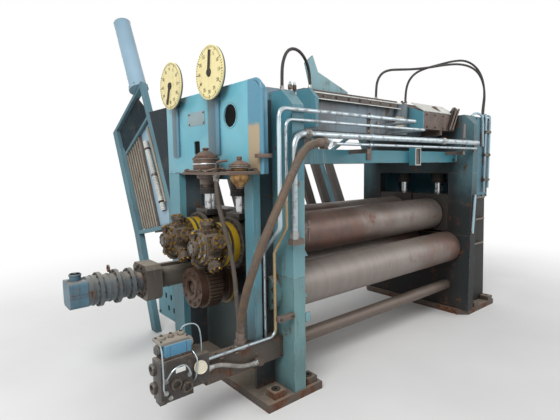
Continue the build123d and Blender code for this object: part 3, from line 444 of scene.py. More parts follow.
@dataclass(frozen=True)
class GuardPaint(WornPaint):
    """The guard frame's paint, with painted shade on the gusset beside the housing."""

    def zones(self, shader: Shader, colour: Sock) -> Sock:
        """Paint shade over the gusset beside the housing."""
        y, z = shader.axis("Y"), shader.axis("Z")
        slope = (y - 0.71) - (z - 1.36) * 0.469
        near = (1 - shader.step(slope, -0.045, -0.035)) * shader.step(z, 1.2, 1.3)
        return shader.mix(near * 0.95, colour, tint(GUARD_SHADE))


@dataclass(frozen=True)
class CoverPaint(WornPaint):
    """The girder's cover, which is rusty brown, and the turquoise ribs left of it."""

    def zones(self, shader: Shader, colour: Sock) -> Sock:
        """Lay the cover's own colours right of the ribs."""
        cover = shader.step(shader.axis("X"), 0.59, 0.61)
        patch = shader.step(shader.noise(0.1, 5.0, 0.6, seed=4), 0.4, 0.6)
        return shader.mix(cover, colour, shader.mix(patch, tint(COVER_BROWN), tint(COVER_RUST)))


@dataclass(frozen=True)
class TopPaint(WornPaint):
    """The girder's top plate and arm: brown flange, pale turquoise arm."""

    def zones(self, shader: Shader, colour: Sock) -> Sock:
        """Lay the pale turquoise over the arm."""
        arm = shader.step(shader.axis("Z"), 2.395, 2.405)
        return shader.mix(arm * 0.9, colour, tint(PALE_TURQUOISE))


@dataclass(frozen=True)
class DrumPaint(WornPaint):
    """Yellow gear paint with black rims."""

    def zones(self, shader: Shader, colour: Sock) -> Sock:
        """Blacken the mounting ring and the grooves."""
        x = shader.axis("X")
        black = shader.step(x, -1.575, -1.570) + shader.band(x, -1.688, -1.664)
        return shader.mix(black.least(1.0) * 0.94, colour, tint(DRUM_BLACK))


@dataclass(frozen=True)
class MillSteel:
    """Bare machined or rolled steel with rust, oil and rings of wear round its axis, and painted shade in its
    hollows.
    """

    name: str
    steel: str
    stain: str
    metal: float = 0.55
    gloss: float = 0.42
    staining: float = 0.5
    ringed: float = 0.5
    seed: float = 0.0
    red_from: float = 0.0
    red_to: float = 0.0

    def make(self) -> bpy.types.Material:
        """Build the material."""
        s = Shader(bpy.data.materials.new(self.name))
        broad = s.noise(0.5, 4.0, 0.55, seed=self.seed)
        patch = s.noise(0.11, 8.0, 0.68, seed=self.seed + 2)
        grain = s.noise(0.006, 3.0, 0.6, seed=self.seed)
        rings = s.noise(0.05, 6.0, 0.7, (1, 0.02, 0.02), self.seed + 4)
        worn = s.edges(0.008)
        nook = s.hollows(0.12)
        colour = s.mix(s.step(rings, 0.36, 0.64) * self.ringed, tint(self.steel), tint(ROLLED_GREY))
        dirt = patch * 0.6 + broad * 0.4 + rings * 0.2 * self.ringed
        stain = s.step(dirt, 0.72 - 0.25 * self.staining, 0.86 - 0.2 * self.staining)
        colour = s.mix(stain * 0.75, colour, tint(self.stain))
        if self.red_from != self.red_to:
            red = s.step(s.axis("X") + (broad - 0.5) * 1.6, self.red_from, self.red_to)
            rust = s.mix(s.step(patch, 0.35, 0.65), tint(DARK_RED_RUST), tint(RED_RUST))
            colour = s.mix(red * 0.72, colour, rust)
        colour = s.mix(s.step(patch * 0.5 + grain * 0.5, 0.56, 0.7) * 0.6, colour, tint(DARK_RUST))
        # Darker deep in corners and behind other pieces: grime and painted shade.
        colour = s.mix(s.step(nook, 0.3, 1.0) * 0.6, colour, tint(GRIME_AND_SHADE))
        colour = s.mix(worn * 0.35, colour, tint(BRIGHT_EDGE))
        colour = s.mix(s.tops() * s.step(broad, 0.35, 0.65) * 0.28, colour, tint(DUST))
        rough = (self.gloss + stain * 0.3 + (grain - 0.5) * 0.2).least(0.95)
        metal = (1 - stain * 0.7) * self.metal
        return s.finish(colour, rough, metal, grain * 0.3 + patch * 0.5 + rings * 0.3, 0.0009)


@dataclass(frozen=True)
class RoughCasting:
    """A cast housing with a sandy skin, oil stains and dust, and dirt and painted shade in its hollows."""

    name: str
    skin: str
    dark: str
    oil: float = 0.5
    metal: float = 0.1
    seed: float = 0.0

    def make(self) -> bpy.types.Material:
        """Build the material."""
        s = Shader(bpy.data.materials.new(self.name))
        patch = s.noise(0.07, 7.0, 0.65, seed=self.seed)
        grain = s.noise(0.005, 5.0, 0.7, seed=self.seed)
        drips = s.noise(0.03, 4.0, 0.6, (1, 1, 0.15), self.seed + 1)
        nook = s.hollows(0.07)
        worn = s.edges(0.006)
        colour = s.mix(s.step(patch, 0.38, 0.62), tint(self.skin), tint(self.dark))
        wet = s.step(drips * 0.6 + patch * 0.4, 0.62 - 0.2 * self.oil, 0.72 - 0.1 * self.oil)
        colour = s.mix(wet * 0.7, colour, tint(OIL))
        # Darker deep in corners: dirt and painted shade.
        colour = s.mix(s.step(nook, 0.2, 0.9) * 0.75, colour, tint(CORNER_SHADE_AND_DIRT))
        colour = s.mix(worn * 0.4, colour, tint(CAST_EDGE))
        colour = s.mix(s.tops() * 0.35, colour, tint(DUST))
        rough = 0.72 - wet * 0.38 + (grain - 0.5) * 0.3
        return s.finish(colour, rough, self.metal, grain * 0.6 + patch * 0.6, 0.0016)


@dataclass(frozen=True)
class PlatedMetal:
    """Brass, zinc, chrome or pipe metal that has tarnished, with painted shade in its hollows."""

    name: str
    metal_colour: str
    tarnish: str
    gloss: float = 0.25
    spread: float = 0.4
    seed: float = 0.0

    def make(self) -> bpy.types.Material:
        """Build the material."""
        s = Shader(bpy.data.materials.new(self.name))
        patch = s.noise(0.05, 6.0, 0.62, seed=self.seed)
        grain = s.noise(0.004, 3.0, 0.6, seed=self.seed)
        nook = s.hollows(0.05)
        dull = s.step(patch + grain * 0.15, 0.72 - 0.35 * self.spread, 0.86 - 0.25 * self.spread)
        colour = s.mix(dull * 0.8, tint(self.metal_colour), tint(self.tarnish))
        colour, bare = self.zones(s, colour)
        # Darker deep in corners: grime and painted shade.
        colour = s.mix(s.step(nook, 0.3, 1.0) * 0.6, colour, tint(GRIME_AND_SHADE))
        rough = self.gloss + dull * 0.4 + grain * 0.12
        return s.finish(colour, rough, (0.9 - dull * 0.6) * bare, grain * 0.3 + patch * 0.3, 0.0005)

    def zones(self, shader: Shader, colour: Sock) -> tuple[Sock, Number]:
        """Give the metal its painted zones, which plain metal hasn't, and how bare it is."""
        return colour, 1.0


@dataclass(frozen=True)
class TubePaint(PlatedMetal):
    """The long tubes: the first one pale where it stands, the second one tan low down."""

    def zones(self, shader: Shader, colour: Sock) -> tuple[Sock, Number]:
        """Lay the pale and the tan paint over the upright lengths."""
        x, z = shader.axis("X"), shader.axis("Z")
        pale = shader.band(x, -1.550, -1.508) * shader.band(z, 1.30, 2.06, 0.05)
        tan = shader.band(x, -1.487, -1.454) * (1 - shader.step(z, 1.45, 1.60))
        colour = shader.mix(pale * 0.85, colour, tint(TUBE_PALE))
        colour = shader.mix(tan * 0.85, colour, tint(TUBE_TAN))
        return colour, 1 - (pale + tan).least(1.0) * 0.8


@dataclass(frozen=True)
class HoseRubber:
    """A hose's rubber cover, scuffed and dusty."""

    name: str
    cover: str
    scuff: str
    dusting: float = 0.4
    seed: float = 0.0
    shine: float = 0.5

    def make(self) -> bpy.types.Material:
        """Build the material."""
        s = Shader(bpy.data.materials.new(self.name))
        patch = s.noise(0.09, 6.0, 0.65, seed=self.seed)
        grain = s.noise(0.004, 4.0, 0.7, seed=self.seed)
        colour = s.mix(s.step(patch, 0.36, 0.66), tint(self.cover), tint(self.scuff))
        colour = s.mix(s.step(grain * 0.5 + patch * 0.5, 0.5, 0.62) * self.dusting, colour, tint(DUST))
        colour = s.mix(s.tops() * self.dusting * 0.8, colour, tint(DUST))
        return s.finish(colour, 0.5 + patch * 0.4, 0.0, grain * 0.5 + patch * 0.3, 0.0012, self.shine)


@dataclass(frozen=True)
class DialEnamel:
    """Cream enamel with stains creeping in from the rim."""

    name: str
    enamel: str
    stain: str
    seed: float = 0.0

    def make(self) -> bpy.types.Material:
        """Build the material."""
        s = Shader(bpy.data.materials.new(self.name))
        patch = s.noise(0.08, 7.0, 0.68, seed=self.seed)
        grain = s.noise(0.006, 3.0, 0.6, seed=self.seed)
        runs = s.noise(0.03, 4.0, 0.6, (1, 1, 0.12), self.seed)
        dirty = s.step(patch * 0.6 + runs * 0.45, 0.52, 0.72)
        colour = s.mix(dirty * 0.5, tint(self.enamel), tint(self.stain))
        colour = s.mix(s.step(patch * 0.7 + grain * 0.3, 0.62, 0.68) * 0.6, colour, tint(RUST))
        return s.finish(colour, 0.34 + dirty * 0.4, 0.0, grain * 0.3 + patch * 0.3, 0.0005)


Finish = Union[WornPaint, MillSteel, RoughCasting, PlatedMetal, HoseRubber, DialEnamel]


@cache
def material(finish: Finish) -> bpy.types.Material:
    """Build a finish's material once, and give it again when it is asked for."""
    return finish.make()


class Look(Enum):
    """The finishes that the machine wears; the numbers stand in the order of each finish's own fields."""

    # The panel's turquoise is a lighter copy for its lit face, which is painted light; the legs' turquoise is
    # a darker copy, which is painted shade.
    PANEL = PanelPaint("panel_paint_lit", "70B4C4", "5FA4B5", 0.2, 0.2, 0.36, 0.3, 1.0)
    TURQUOISE = WornPaint("turquoise_paint", "5590A0", "437A89", 0.34, 0.45, 0.42, 0.45, 2.0)
    LEG = WornPaint("leg_paint_shaded", "5A93A0", "4A7B88", 0.32, 0.45, 0.42, 0.4, 3.0, 0.45, 0.55)
    POST = WornPaint("post_paint", "76A1A8", "608D95", 0.32, 0.42, 0.45, 0.4, 4.0, 0.0, 1.0, 0.7, 0.50)
    SILL = WornPaint("sill_paint", "6F979B", "5B7F80", 0.4, 0.55, 0.45, 0.4, 4.0, 0.35, 0.45, 0.85, 0.52)
    WEBS = WornPaint("web_paint", "35474F", "27333A", 0.4, 0.7, 0.45, 0.3, 5.0, 0.5, 0.9)
    BEAM = WornPaint("beam_paint", "458D9C", "36717E", 0.32, 0.5, 0.4, 0.35, 6.0)
    IDLE_POST = WornPaint(
        "idle_post_paint", "5A7C85", "486870", 0.48, 0.6, 0.6, 0.4, 8.0, 0.90, 1.45, 0.8, 0.60, shine=0.3
    )
    IDLE_CASING = WornPaint("idle_casing_paint", "4A8194", "3D6C7C", 0.5, 0.55, 0.45, 0.4, 9.0)
    IDLE_FOOT = WornPaint(
        "idle_foot_paint", "37423F", "2B302F", 0.45, 0.75, 0.6, 0.4, 10.0, 0.8, 1.2, shine=0.3
    )
    BASE = WornPaint("base_plate_rust", "5D5249", "463F39", 0.72, 0.6, 0.6, 0.5, 14.0)
    CHANNEL = WornPaint("channel_rust", "4A423B", "574639", 0.6, 0.7, 0.5, 0.35, 16.0)
    GUARD_FRAME = GuardPaint("guard_frame_paint", "678B96", "557580", 0.3, 0.4, 0.7, 0.35, 18.0, shine=0.2)
    GUARD_TUBE = WornPaint("guard_tube_paint", "94B2C4", "7E9CAE", 0.2, 0.25, 0.38, 0.2, 20.0)
    SLATS = WornPaint("slat_brown", "4F4842", "393430", 0.5, 0.6, 0.55, 0.3, 22.0)
    GREY_BLUE = WornPaint("grey_blue_paint", "66737A", "4F585C", 0.42, 0.6, 0.45, 0.75, 24.0)
    ARM = WornPaint("torque_arm_paint", "605A53", "46403B", 0.45, 0.6, 0.5, 0.9, 26.0)
    MOTOR_BLUE = WornPaint("motor_blue_paint", "51778A", "3F5F6E", 0.32, 0.5, 0.42, 0.5, 28.0)
    YELLOW = DrumPaint("drum_yellow", "BF9C16", "957710", 0.28, 0.7, 0.3, 0.1, 30.0)
    OLIVE = WornPaint("olive_yellow", "8E7A2C", "6B5A22", 0.4, 0.7, 0.4, 0.2, 32.0)
    SLATE = WornPaint("slate_paint", "3A4C55", "2E3E46", 0.3, 0.4, 0.5, 0.3, 34.0)
    BLANK_PLATE = WornPaint("blank_plate_grey", "8FA3A8", "7D9095", 0.15, 0.3, 0.4, 0.2, 36.0)
    # White paint, and white strips that paint highlights on the girder
    WHITE_PLATE = WornPaint("white_plate", "E2E3DE", "CDCDC6", 0.08, 0.15, 0.4, 0.1, 37.0)
    COVER = CoverPaint("cover_paint", "5590A0", "437A89", 0.34, 0.4, 0.5, 0.25, 38.0)
    TOP_PLATE = TopPaint("top_plate_brown", "55483F", "433932", 0.5, 0.5, 0.55, 0.4, 40.0)
    GIRDER_WEB = WornPaint("girder_web_paint", "7590A0", "5F6468", 0.45, 0.6, 0.45, 0.35, 42.0)
    CASTING = WornPaint("manifold_casting", "3F3934", "2F2A27", 0.4, 0.5, 0.35, 0.35, 44.0)
    VALVE_BLUE = WornPaint("valve_blue", "5596B8", "427A99", 0.25, 0.45, 0.36, 0.5, 45.0)
    DUSTY_TAN = WornPaint("dusty_tan_patch", "B5A88F", "9E9077", 0.15, 0.3, 0.5, 0.3, 48.0)
    COVER_GREY = WornPaint("dusty_cover_grey", "8B857B", "6F675D", 0.3, 0.4, 0.5, 0.8, 47.0)
    UPPER_ROLL = MillSteel("upper_roll_steel", "857B75", "764A39", 0.32, 0.42, 0.8, 0.2, 1.0, 0.3, -0.3)
    LOWER_ROLL = MillSteel("lower_roll_steel", "8A817B", "7D5646", 0.32, 0.45, 0.55, 0.2, 7.0, 0.35, 0.95)
    SHAFT = MillSteel("rusty_steel", "6D6058", "6B4532", 0.35, 0.5, 0.65, 0.2, 2.0)
    RUSTY_SHELF = MillSteel("rusty_shelf", "5E4A3E", "70432B", 0.2, 0.5, 0.7, 0.1, 5.0)
    COUPLING = MillSteel("coupling_steel", "4F382B", "3E261B", 0.3, 0.4, 0.65, 0.15, 3.0)
    CHOCK = MillSteel("chock_steel", "3E3A37", "3F2F25", 0.3, 0.45, 0.5, 0.1, 4.0)
    CHROME = PlatedMetal("rod_chrome", "C8CACB", "6F6A63", 0.18, 0.35, 1.0)
    TUBES = TubePaint("silver_tubes_metal", "AEB9BE", "74777A", 0.28, 0.42, 9.0)
    PIPE = PlatedMetal("silver_pipe", "AEB9BE", "74777A", 0.28, 0.42, 2.0)
    PALE_PIPE = WornPaint("pale_pipe_paint", "A9C6D3", "8EABB8", 0.15, 0.25, 0.35, 0.2, 46.0)
    ZINC = PlatedMetal("zinc_bolts", "A6A8A6", "66564A", 0.36, 0.5, 5.0)
    DARK_BOLT = PlatedMetal("oiled_bolts", "6A625A", "3B2D22", 0.42, 0.7, 6.0)
    MOTOR = RoughCasting("motor_casting", "685A4B", "3E342C", 0.6, 0.1, 1.0)
    ACC_DOME = RoughCasting("dome_casting", "7B5B4E", "4A332B", 0.5, 0.45, 2.0)
    ACC_BOWL = PlatedMetal("bowl_brass", "B08D5C", "6E4A30", 0.32, 0.6, 7.0)
    IRON = RoughCasting("black_iron", "2E2B28", "201D1B", 0.3, 0.1, 3.0)
    BROWN_HOSE = HoseRubber("brown_hose", "62503F", "453931", 0.35, 1.0)
    GREY_HOSE = HoseRubber("grey_brown_hose", "544A42", "3B3531", 0.35, 2.0)
    BLACK_HOSE = HoseRubber("black_hose", "24221F", "32302C", 0.2, 3.0)
    PALE_HOSE = HoseRubber("grey_hose", "9A9995", "6E6A65", 0.3, 4.0)
    # Near-black that stands for the shade inside holes and behind slots
    RECESS = HoseRubber("painted_hole_shade", "101113", "181716", 0.03, 5.0, 0.05)
    FOOT_PAINT = WornPaint("foot_plate_paint", "4A8593", "3A6B77", 0.3, 0.45, 0.45, 0.3, 50.0)
    GRILLE_DARK = WornPaint("grille_brown", "4A3F38", "352D28", 0.5, 0.6, 0.6, 0.2, 51.0)
    GRILLE_PALE = WornPaint("grille_beige", "9C9484", "83796A", 0.3, 0.35, 0.55, 0.2, 52.0)
    # Near-black sheet that stands for the shade in the guard's corner
    DIM_SLATE = WornPaint("painted_shade_sheet", "2B393F", "1E272C", 0.25, 0.5, 0.8, 0.1, 53.0, shine=0.08)
    HUB_GREY = RoughCasting("hub_grey", "8F9290", "6B6862", 0.35, 0.2, 8.0)
    OLD_BRASS = PlatedMetal("old_brass_bolts", "A5813A", "5C4424", 0.34, 0.62, 10.0)
    CREAM = DialEnamel("dial_cream", "E6D9A0", "B39C62", 1.0)
    BEIGE = DialEnamel("connector_beige", "CFC9B4", "8E7C5E", 2.0)
    BLACK = RoughCasting("pointer_black", "1C1B1A", "262422", 0.1, 0.0, 4.0)

    @property
    def surface(self) -> bpy.types.Material:
        """The look's material."""
        return material(self.value)


# Shapes


def aim(start: Sequence[float], way: Direction, turn: float = 0.0) -> Matrix:
    """Place a shape that was made along +Z.

    Args:
        start: Where its origin goes.
        way: Where its +Z points.
        turn: A turn about that direction, in degrees.

    Returns:
        The transform.
    """
    direction = Vector(way.value if isinstance(way, Way) else way)
    facing = Vector((0, 0, 1)).rotation_difference(direction).to_matrix().to_4x4()
    return Matrix.Translation(start) @ facing @ Matrix.Rotation(math.radians(turn), 4, "Z")


def circle_of(count: int, radius: float, centre: Point, way: Direction, turn: float = 0.0) -> list[Matrix]:
    """Place shapes evenly on a circle.

    Args:
        count: How many there are.
        radius: The circle's radius.
        centre: Its middle.
        way: The way that each shape points.
        turn: The first one's angle in degrees.

    Returns:
        One transform for each.
    """
    uneven = 7.3
    base = aim(centre, way)
    angles = [math.radians(turn + 360 * i / count) for i in range(count)]
    spots = [Matrix.Translation((radius * math.cos(a), radius * math.sin(a), 0)) for a in angles]
    return [base @ spot @ Matrix.Rotation(a * uneven, 4, "Z") for spot, a in zip(spots, angles)]


def ring(inner: float, outer: float, low: float, high: float) -> list[Corner]:
    """Give the profile of a flat ring, from its bore to its rim."""
    return [(inner, low), (outer, low), (outer, high), (inner, high)]


def round_line(name: str, route: Sequence[Point], radius: float, sides: int, steps: int) -> bpy.types.Curve:
    """Make the curve of a round bar along a smooth line.

    Args:
        name: The curve's name.
        route: The line's control points.
        radius: The bar's radius.
        sides: How fine its circle is.
        steps: How fine its length is.

    Returns:
        The curve.
    """
    curve = bpy.data.curves.new(name, "CURVE")
    curve.dimensions = "3D"
    curve.bevel_depth = radius
    curve.bevel_resolution = sides
    curve.resolution_u = steps
    curve.use_fill_caps = True
    spline = curve.splines.new("NURBS")
    spline.points.add(len(route) - 1)
    for spot, place in zip(spline.points, route):
        spot.co = (*place, 1.0)
    spline.order_u = 3
    spline.use_endpoint_u = True
    return curve


def show(name: str, data: bpy.types.ID) -> bpy.types.Object:
    """Make an object of some data and link it to the scene."""
    thing = bpy.data.objects.new(name, data)
    bpy.context.scene.collection.objects.link(thing)
    return thing


class Shape:
    """A closed shape that is made with mesh operators and then joined to a piece."""

    def __init__(self) -> None:
        """Start with an empty mesh."""
        self.bm = bmesh.new()

    @classmethod
    def block(cls, low: Sequence[float], high: Sequence[float], soften: float = 0.0, steps: int = 2) -> Shape:
        """Make a box between two corners.

        Args:
            low: The lowest corner.
            high: The highest corner.
            soften: The radius of its edges.
            steps: The segments of these.

        Returns:
            The shape.
        """
        shape = cls()
        bmesh.ops.create_cube(shape.bm, size=1.0)
        bmesh.ops.scale(shape.bm, vec=[b - a for a, b in zip(low, high)], verts=shape.bm.verts)
        bmesh.ops.translate(shape.bm, vec=[(a + b) / 2 for a, b in zip(low, high)], verts=shape.bm.verts)
        return shape.soften(soften, steps) if soften else shape

    @classmethod
    def rod(
        cls,
        start: Sequence[float],
        end: Sequence[float],
        radius: float,
        tip: float | None = None,
        sides: int = 28,
        soften: float = 0.0,
    ) -> Shape:
        """Make a round bar or cone between two points.

        Args:
            start: The middle of its first end.
            end: The middle of its other end.
            radius: Its radius at the start.
            tip: Its radius at the end, where that differs.
            sides: How many sides its circle has.
            soften: The radius of its edges.

        Returns:
            The shape.
        """
        shape = cls()
        line = Vector(end) - Vector(start)
        tip = radius if tip is None else tip
        bmesh.ops.create_cone(
            shape.bm, cap_ends=True, segments=sides, radius1=radius, radius2=tip, depth=line.length
        )
        bmesh.ops.translate(shape.bm, vec=(0, 0, line.length / 2), verts=shape.bm.verts)
        if soften:
            shape.soften(soften, 2, 40)
        return shape.put(aim(start, line))

    @classmethod
    def turned(cls, profile: Sequence[Corner], steps: int = 40) -> Shape:
        """Spin a profile of radius and height about +Z.

        Args:
            profile: Its corners, which start and end on the axis or close a ring.
            steps: How many steps a full turn takes.

        Returns:
            The shape.
        """
        shape = cls()
        spots = [shape.bm.verts.new((r, 0, h)) for r, h in profile]
        lines = [shape.bm.edges.new(pair) for pair in zip(spots, spots[1:])]
        if profile[0][0] > 0:
            lines.append(shape.bm.edges.new((spots[-1], spots[0])))
        bmesh.ops.spin(
            shape.bm,
            geom=spots + lines,
            cent=(0, 0, 0),
            axis=(0, 0, 1),
            dvec=(0, 0, 0),
            angle=2 * math.pi,
            steps=steps,
            use_merge=True,
        )
        bmesh.ops.remove_doubles(shape.bm, verts=shape.bm.verts, dist=MERGE)
        bmesh.ops.recalc_face_normals(shape.bm, faces=shape.bm.faces)
        return shape

    def thicken(self, faces: Sequence[bmesh.types.BMFace], thickness: Point) -> Shape:
        """Extrude flat faces along a vector, so that they close a plate."""
        grown = bmesh.ops.extrude_face_region(self.bm, geom=faces)
        moved = [item for item in grown["geom"] if isinstance(item, bmesh.types.BMVert)]
        bmesh.ops.translate(self.bm, vec=thickness, verts=moved)
        bmesh.ops.recalc_face_normals(self.bm, faces=self.bm.faces)
        return self

    @classmethod
    def slab(cls, outline: Sequence[Point], thickness: Point, soften: float = 0.0) -> Shape:
        """Make a flat plate.

        Args:
            outline: Its corners in order.
            thickness: The vector that it is extruded along.
            soften: The radius of its edges.

        Returns:
            The shape.
        """
        shape = cls()
        face = shape.bm.faces.new([shape.bm.verts.new(point) for point in outline])
        shape.thicken([face], thickness)
        return shape.soften(soften) if soften else shape

    @classmethod
    def pierced(cls, outline: Sequence[Point], holes: Sequence[Sequence[Point]], thickness: Point) -> Shape:
        """Make a flat plate with holes through it and soft edges.

        Args:
            outline: The plate's corners in order.
            holes: Each hole's corners in order.
            thickness: The vector that it is extruded along.

        Returns:
            The shape.
        """
        shape = cls()
        rims = []
        for loop in (outline, *holes):
            spots = [shape.bm.verts.new(point) for point in loop]
            rims += [shape.bm.edges.new(pair) for pair in zip(spots, spots[1:] + spots[:1])]
        bmesh.ops.triangle_fill(shape.bm, use_beauty=True, use_dissolve=False, edges=rims)
        shape.thicken(shape.bm.faces[:], thickness)
        return shape.soften(0.003, 2, 60)

    @classmethod
    def of_curve(cls, curve: bpy.types.Curve) -> Shape:
        """Turn a curve or a text into a shape, and remove the curve."""
        thing = bpy.data.objects.new("curve", curve)
        mesh = bpy.data.meshes.new_from_object(thing)
        shape = cls()
        shape.bm.from_mesh(mesh)
        bpy.data.objects.remove(thing)
        bpy.data.curves.remove(curve)
        bpy.data.meshes.remove(mesh)
        return shape

    @classmethod
    def pipe(cls, route: Sequence[Point], radius: float, sides: int = 3) -> Shape:
        """Make a bent pipe along a smooth line; sides is how fine its circle is."""
        return cls.of_curve(round_line("pipe", route, radius, sides, 8))

    def soften(self, width: float, steps: int = 2, angle: float = 30.0) -> Shape:
        """Round the edges that are sharper than an angle in degrees."""
        sharp = [e for e in self.bm.edges if e.is_manifold and e.calc_face_angle() > math.radians(angle)]
        bmesh.ops.bevel(
            self.bm,
            geom=sharp,
            offset=width,
            segments=steps,
            profile=0.5,
            affect="EDGES",
            material=-1,
            clamp_overlap=True,
        )
        return self

    def put(self, place: Matrix) -> Shape:
        """Move the shape."""
        bmesh.ops.transform(self.bm, matrix=place, verts=self.bm.verts)
        return self


def hex_bolt(size: float) -> Shape:
    """Make a hexagon bolt head on its washer, standing on the origin.

    Args:
        size: The radius of the head's corners.

    Returns:
        The shape.
    """
    shape = Shape()
    wide = size * 1.3
    bmesh.ops.create_cone(
        shape.bm, cap_ends=True, segments=14, radius1=wide, radius2=wide, depth=size * 0.5
    )
    head = bmesh.ops.create_cone(
        shape.bm, cap_ends=True, segments=6, radius1=size, radius2=size * 0.96, depth=size * 0.8
    )
    bmesh.ops.translate(shape.bm, vec=(0, 0, size * 0.62), verts=head["verts"])
    return shape


def socket_bolt(size: float) -> Shape:
    """Make a round bolt head of that radius with a socket, standing on the origin."""
    shares = ((0, 0), (1, 0), (1, 0.9), (0.9, 1), (0.55, 1), (0.5, 0.5), (0, 0.5))
    return Shape.turned([(size * a, size * b) for a, b in shares], 12)


class Piece:
    """One named piece of the dressed machine, made of shapes."""

    def __init__(self, name: str, body: str, slot: str) -> None:
        """Start a piece.

        Args:
            name: The piece's name.
            body: The body that it moves with.
            slot: The name of a material slot; it is kept but not used.
        """
        self.name, self.body, self.slot = name, body, slot
        self.looks: list[Look] = []
        self.bm = bmesh.new()

    def add(self, shape: Shape, look: Look, places: Iterable[Matrix] = (Matrix(),)) -> None:
        """Join a shape, once or at several places.

        Args:
            shape: The shape, which is used up.
            look: Its look.
            places: Where it goes.
        """
        if look not in self.looks:
            self.looks.append(look)
        for facet in shape.bm.faces:
            facet.material_index = self.looks.index(look)
        stamp = bpy.data.meshes.new("stamp")
        shape.bm.to_mesh(stamp)
        shape.bm.free()
        for place in places:
            copy = stamp.copy()
            copy.transform(place)
            self.bm.from_mesh(copy)
            bpy.data.meshes.remove(copy)
        bpy.data.meshes.remove(stamp)

    def block(self, low: Sequence[float], high: Sequence[float], look: Look, *edges: float) -> None:
        """Join a box; edges are the radius and the segments of its soft edges."""
        self.add(Shape.block(low, high, *edges), look)

    def rod(
        self, start: Sequence[float], end: Sequence[float], radius: float, look: Look, **more: float
    ) -> None:
        """Join a round bar; more are its tip, sides and soften."""
        self.add(Shape.rod(start, end, radius, **more), look)

    def nut(
        self, spot: Point, way: Direction, size: Rect, look: Look, turn: float = 0.0, tip: float | None = None
    ) -> None:
        """Join a hexagon nut or a round cap on a spot.

        Args:
            spot: Where it stands.
            way: Where it points.
            size: Its start and end along that way, its radius and the radius of its edges.
            look: Its look.
            turn: A turn about that way, in degrees.
            tip: The radius of its end, which makes it round.
        """
        start, end, radius, soften = size
        sides = 6 if tip is None else 16
        shape = Shape.rod((0, 0, start), (0, 0, end), radius, tip, sides, soften)
        self.add(shape.put(aim(spot, way, turn)), look)

    def turned(
        self, profile: Sequence[Corner], look: Look, spot: Sequence[float], way: Direction, steps: int = 40
    ) -> None:
        """Join a turned shape, with its axis on a spot and along a way."""
        self.add(Shape.turned(profile, steps).put(aim(spot, way)), look)

    def bolts(
        self,
        size: float,
        spots: Iterable[Point],
        way: Direction,
        turn: float = 0.0,
        look: Look = Look.DARK_BOLT,
    ) -> None:
        """Join a row of hexagon bolts, whose size is the radius of a head's corners."""
        self.add(hex_bolt(size), look, [aim(spot, way, turn) for spot in spots])

    def bolt_circle(
        self,
        size: float,
        count: int,
        radius: float,
        centre: Sequence[float],
        way: Direction,
        turn: float = 0.0,
        look: Look = Look.DARK_BOLT,
    ) -> None:
        """Join hexagon bolts on a circle; turn is the first one's angle in degrees."""
        self.add(hex_bolt(size), look, circle_of(count, radius, centre, way, turn))

    def done(self, *replaced: str) -> None:
        """Make the object.

        Args:
            replaced: The frame's nodes that the piece stands for.
        """
        bmesh.ops.recalc_face_normals(self.bm, faces=self.bm.faces)
        mesh = bpy.data.meshes.new(self.name)
        self.bm.to_mesh(mesh)
        self.bm.free()
        for look in self.looks:
            mesh.materials.append(look.surface)
        mesh.shade_smooth()
        mesh.set_sharp_from_angle(angle=SHARP)
        thing = show(self.name, mesh)
        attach(thing, self.body)
        if replaced:
            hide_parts(*replaced)
        log.info("%s: %d faces on %s", self.name, len(mesh.polygons), self.body)


# Camera, floor and lights


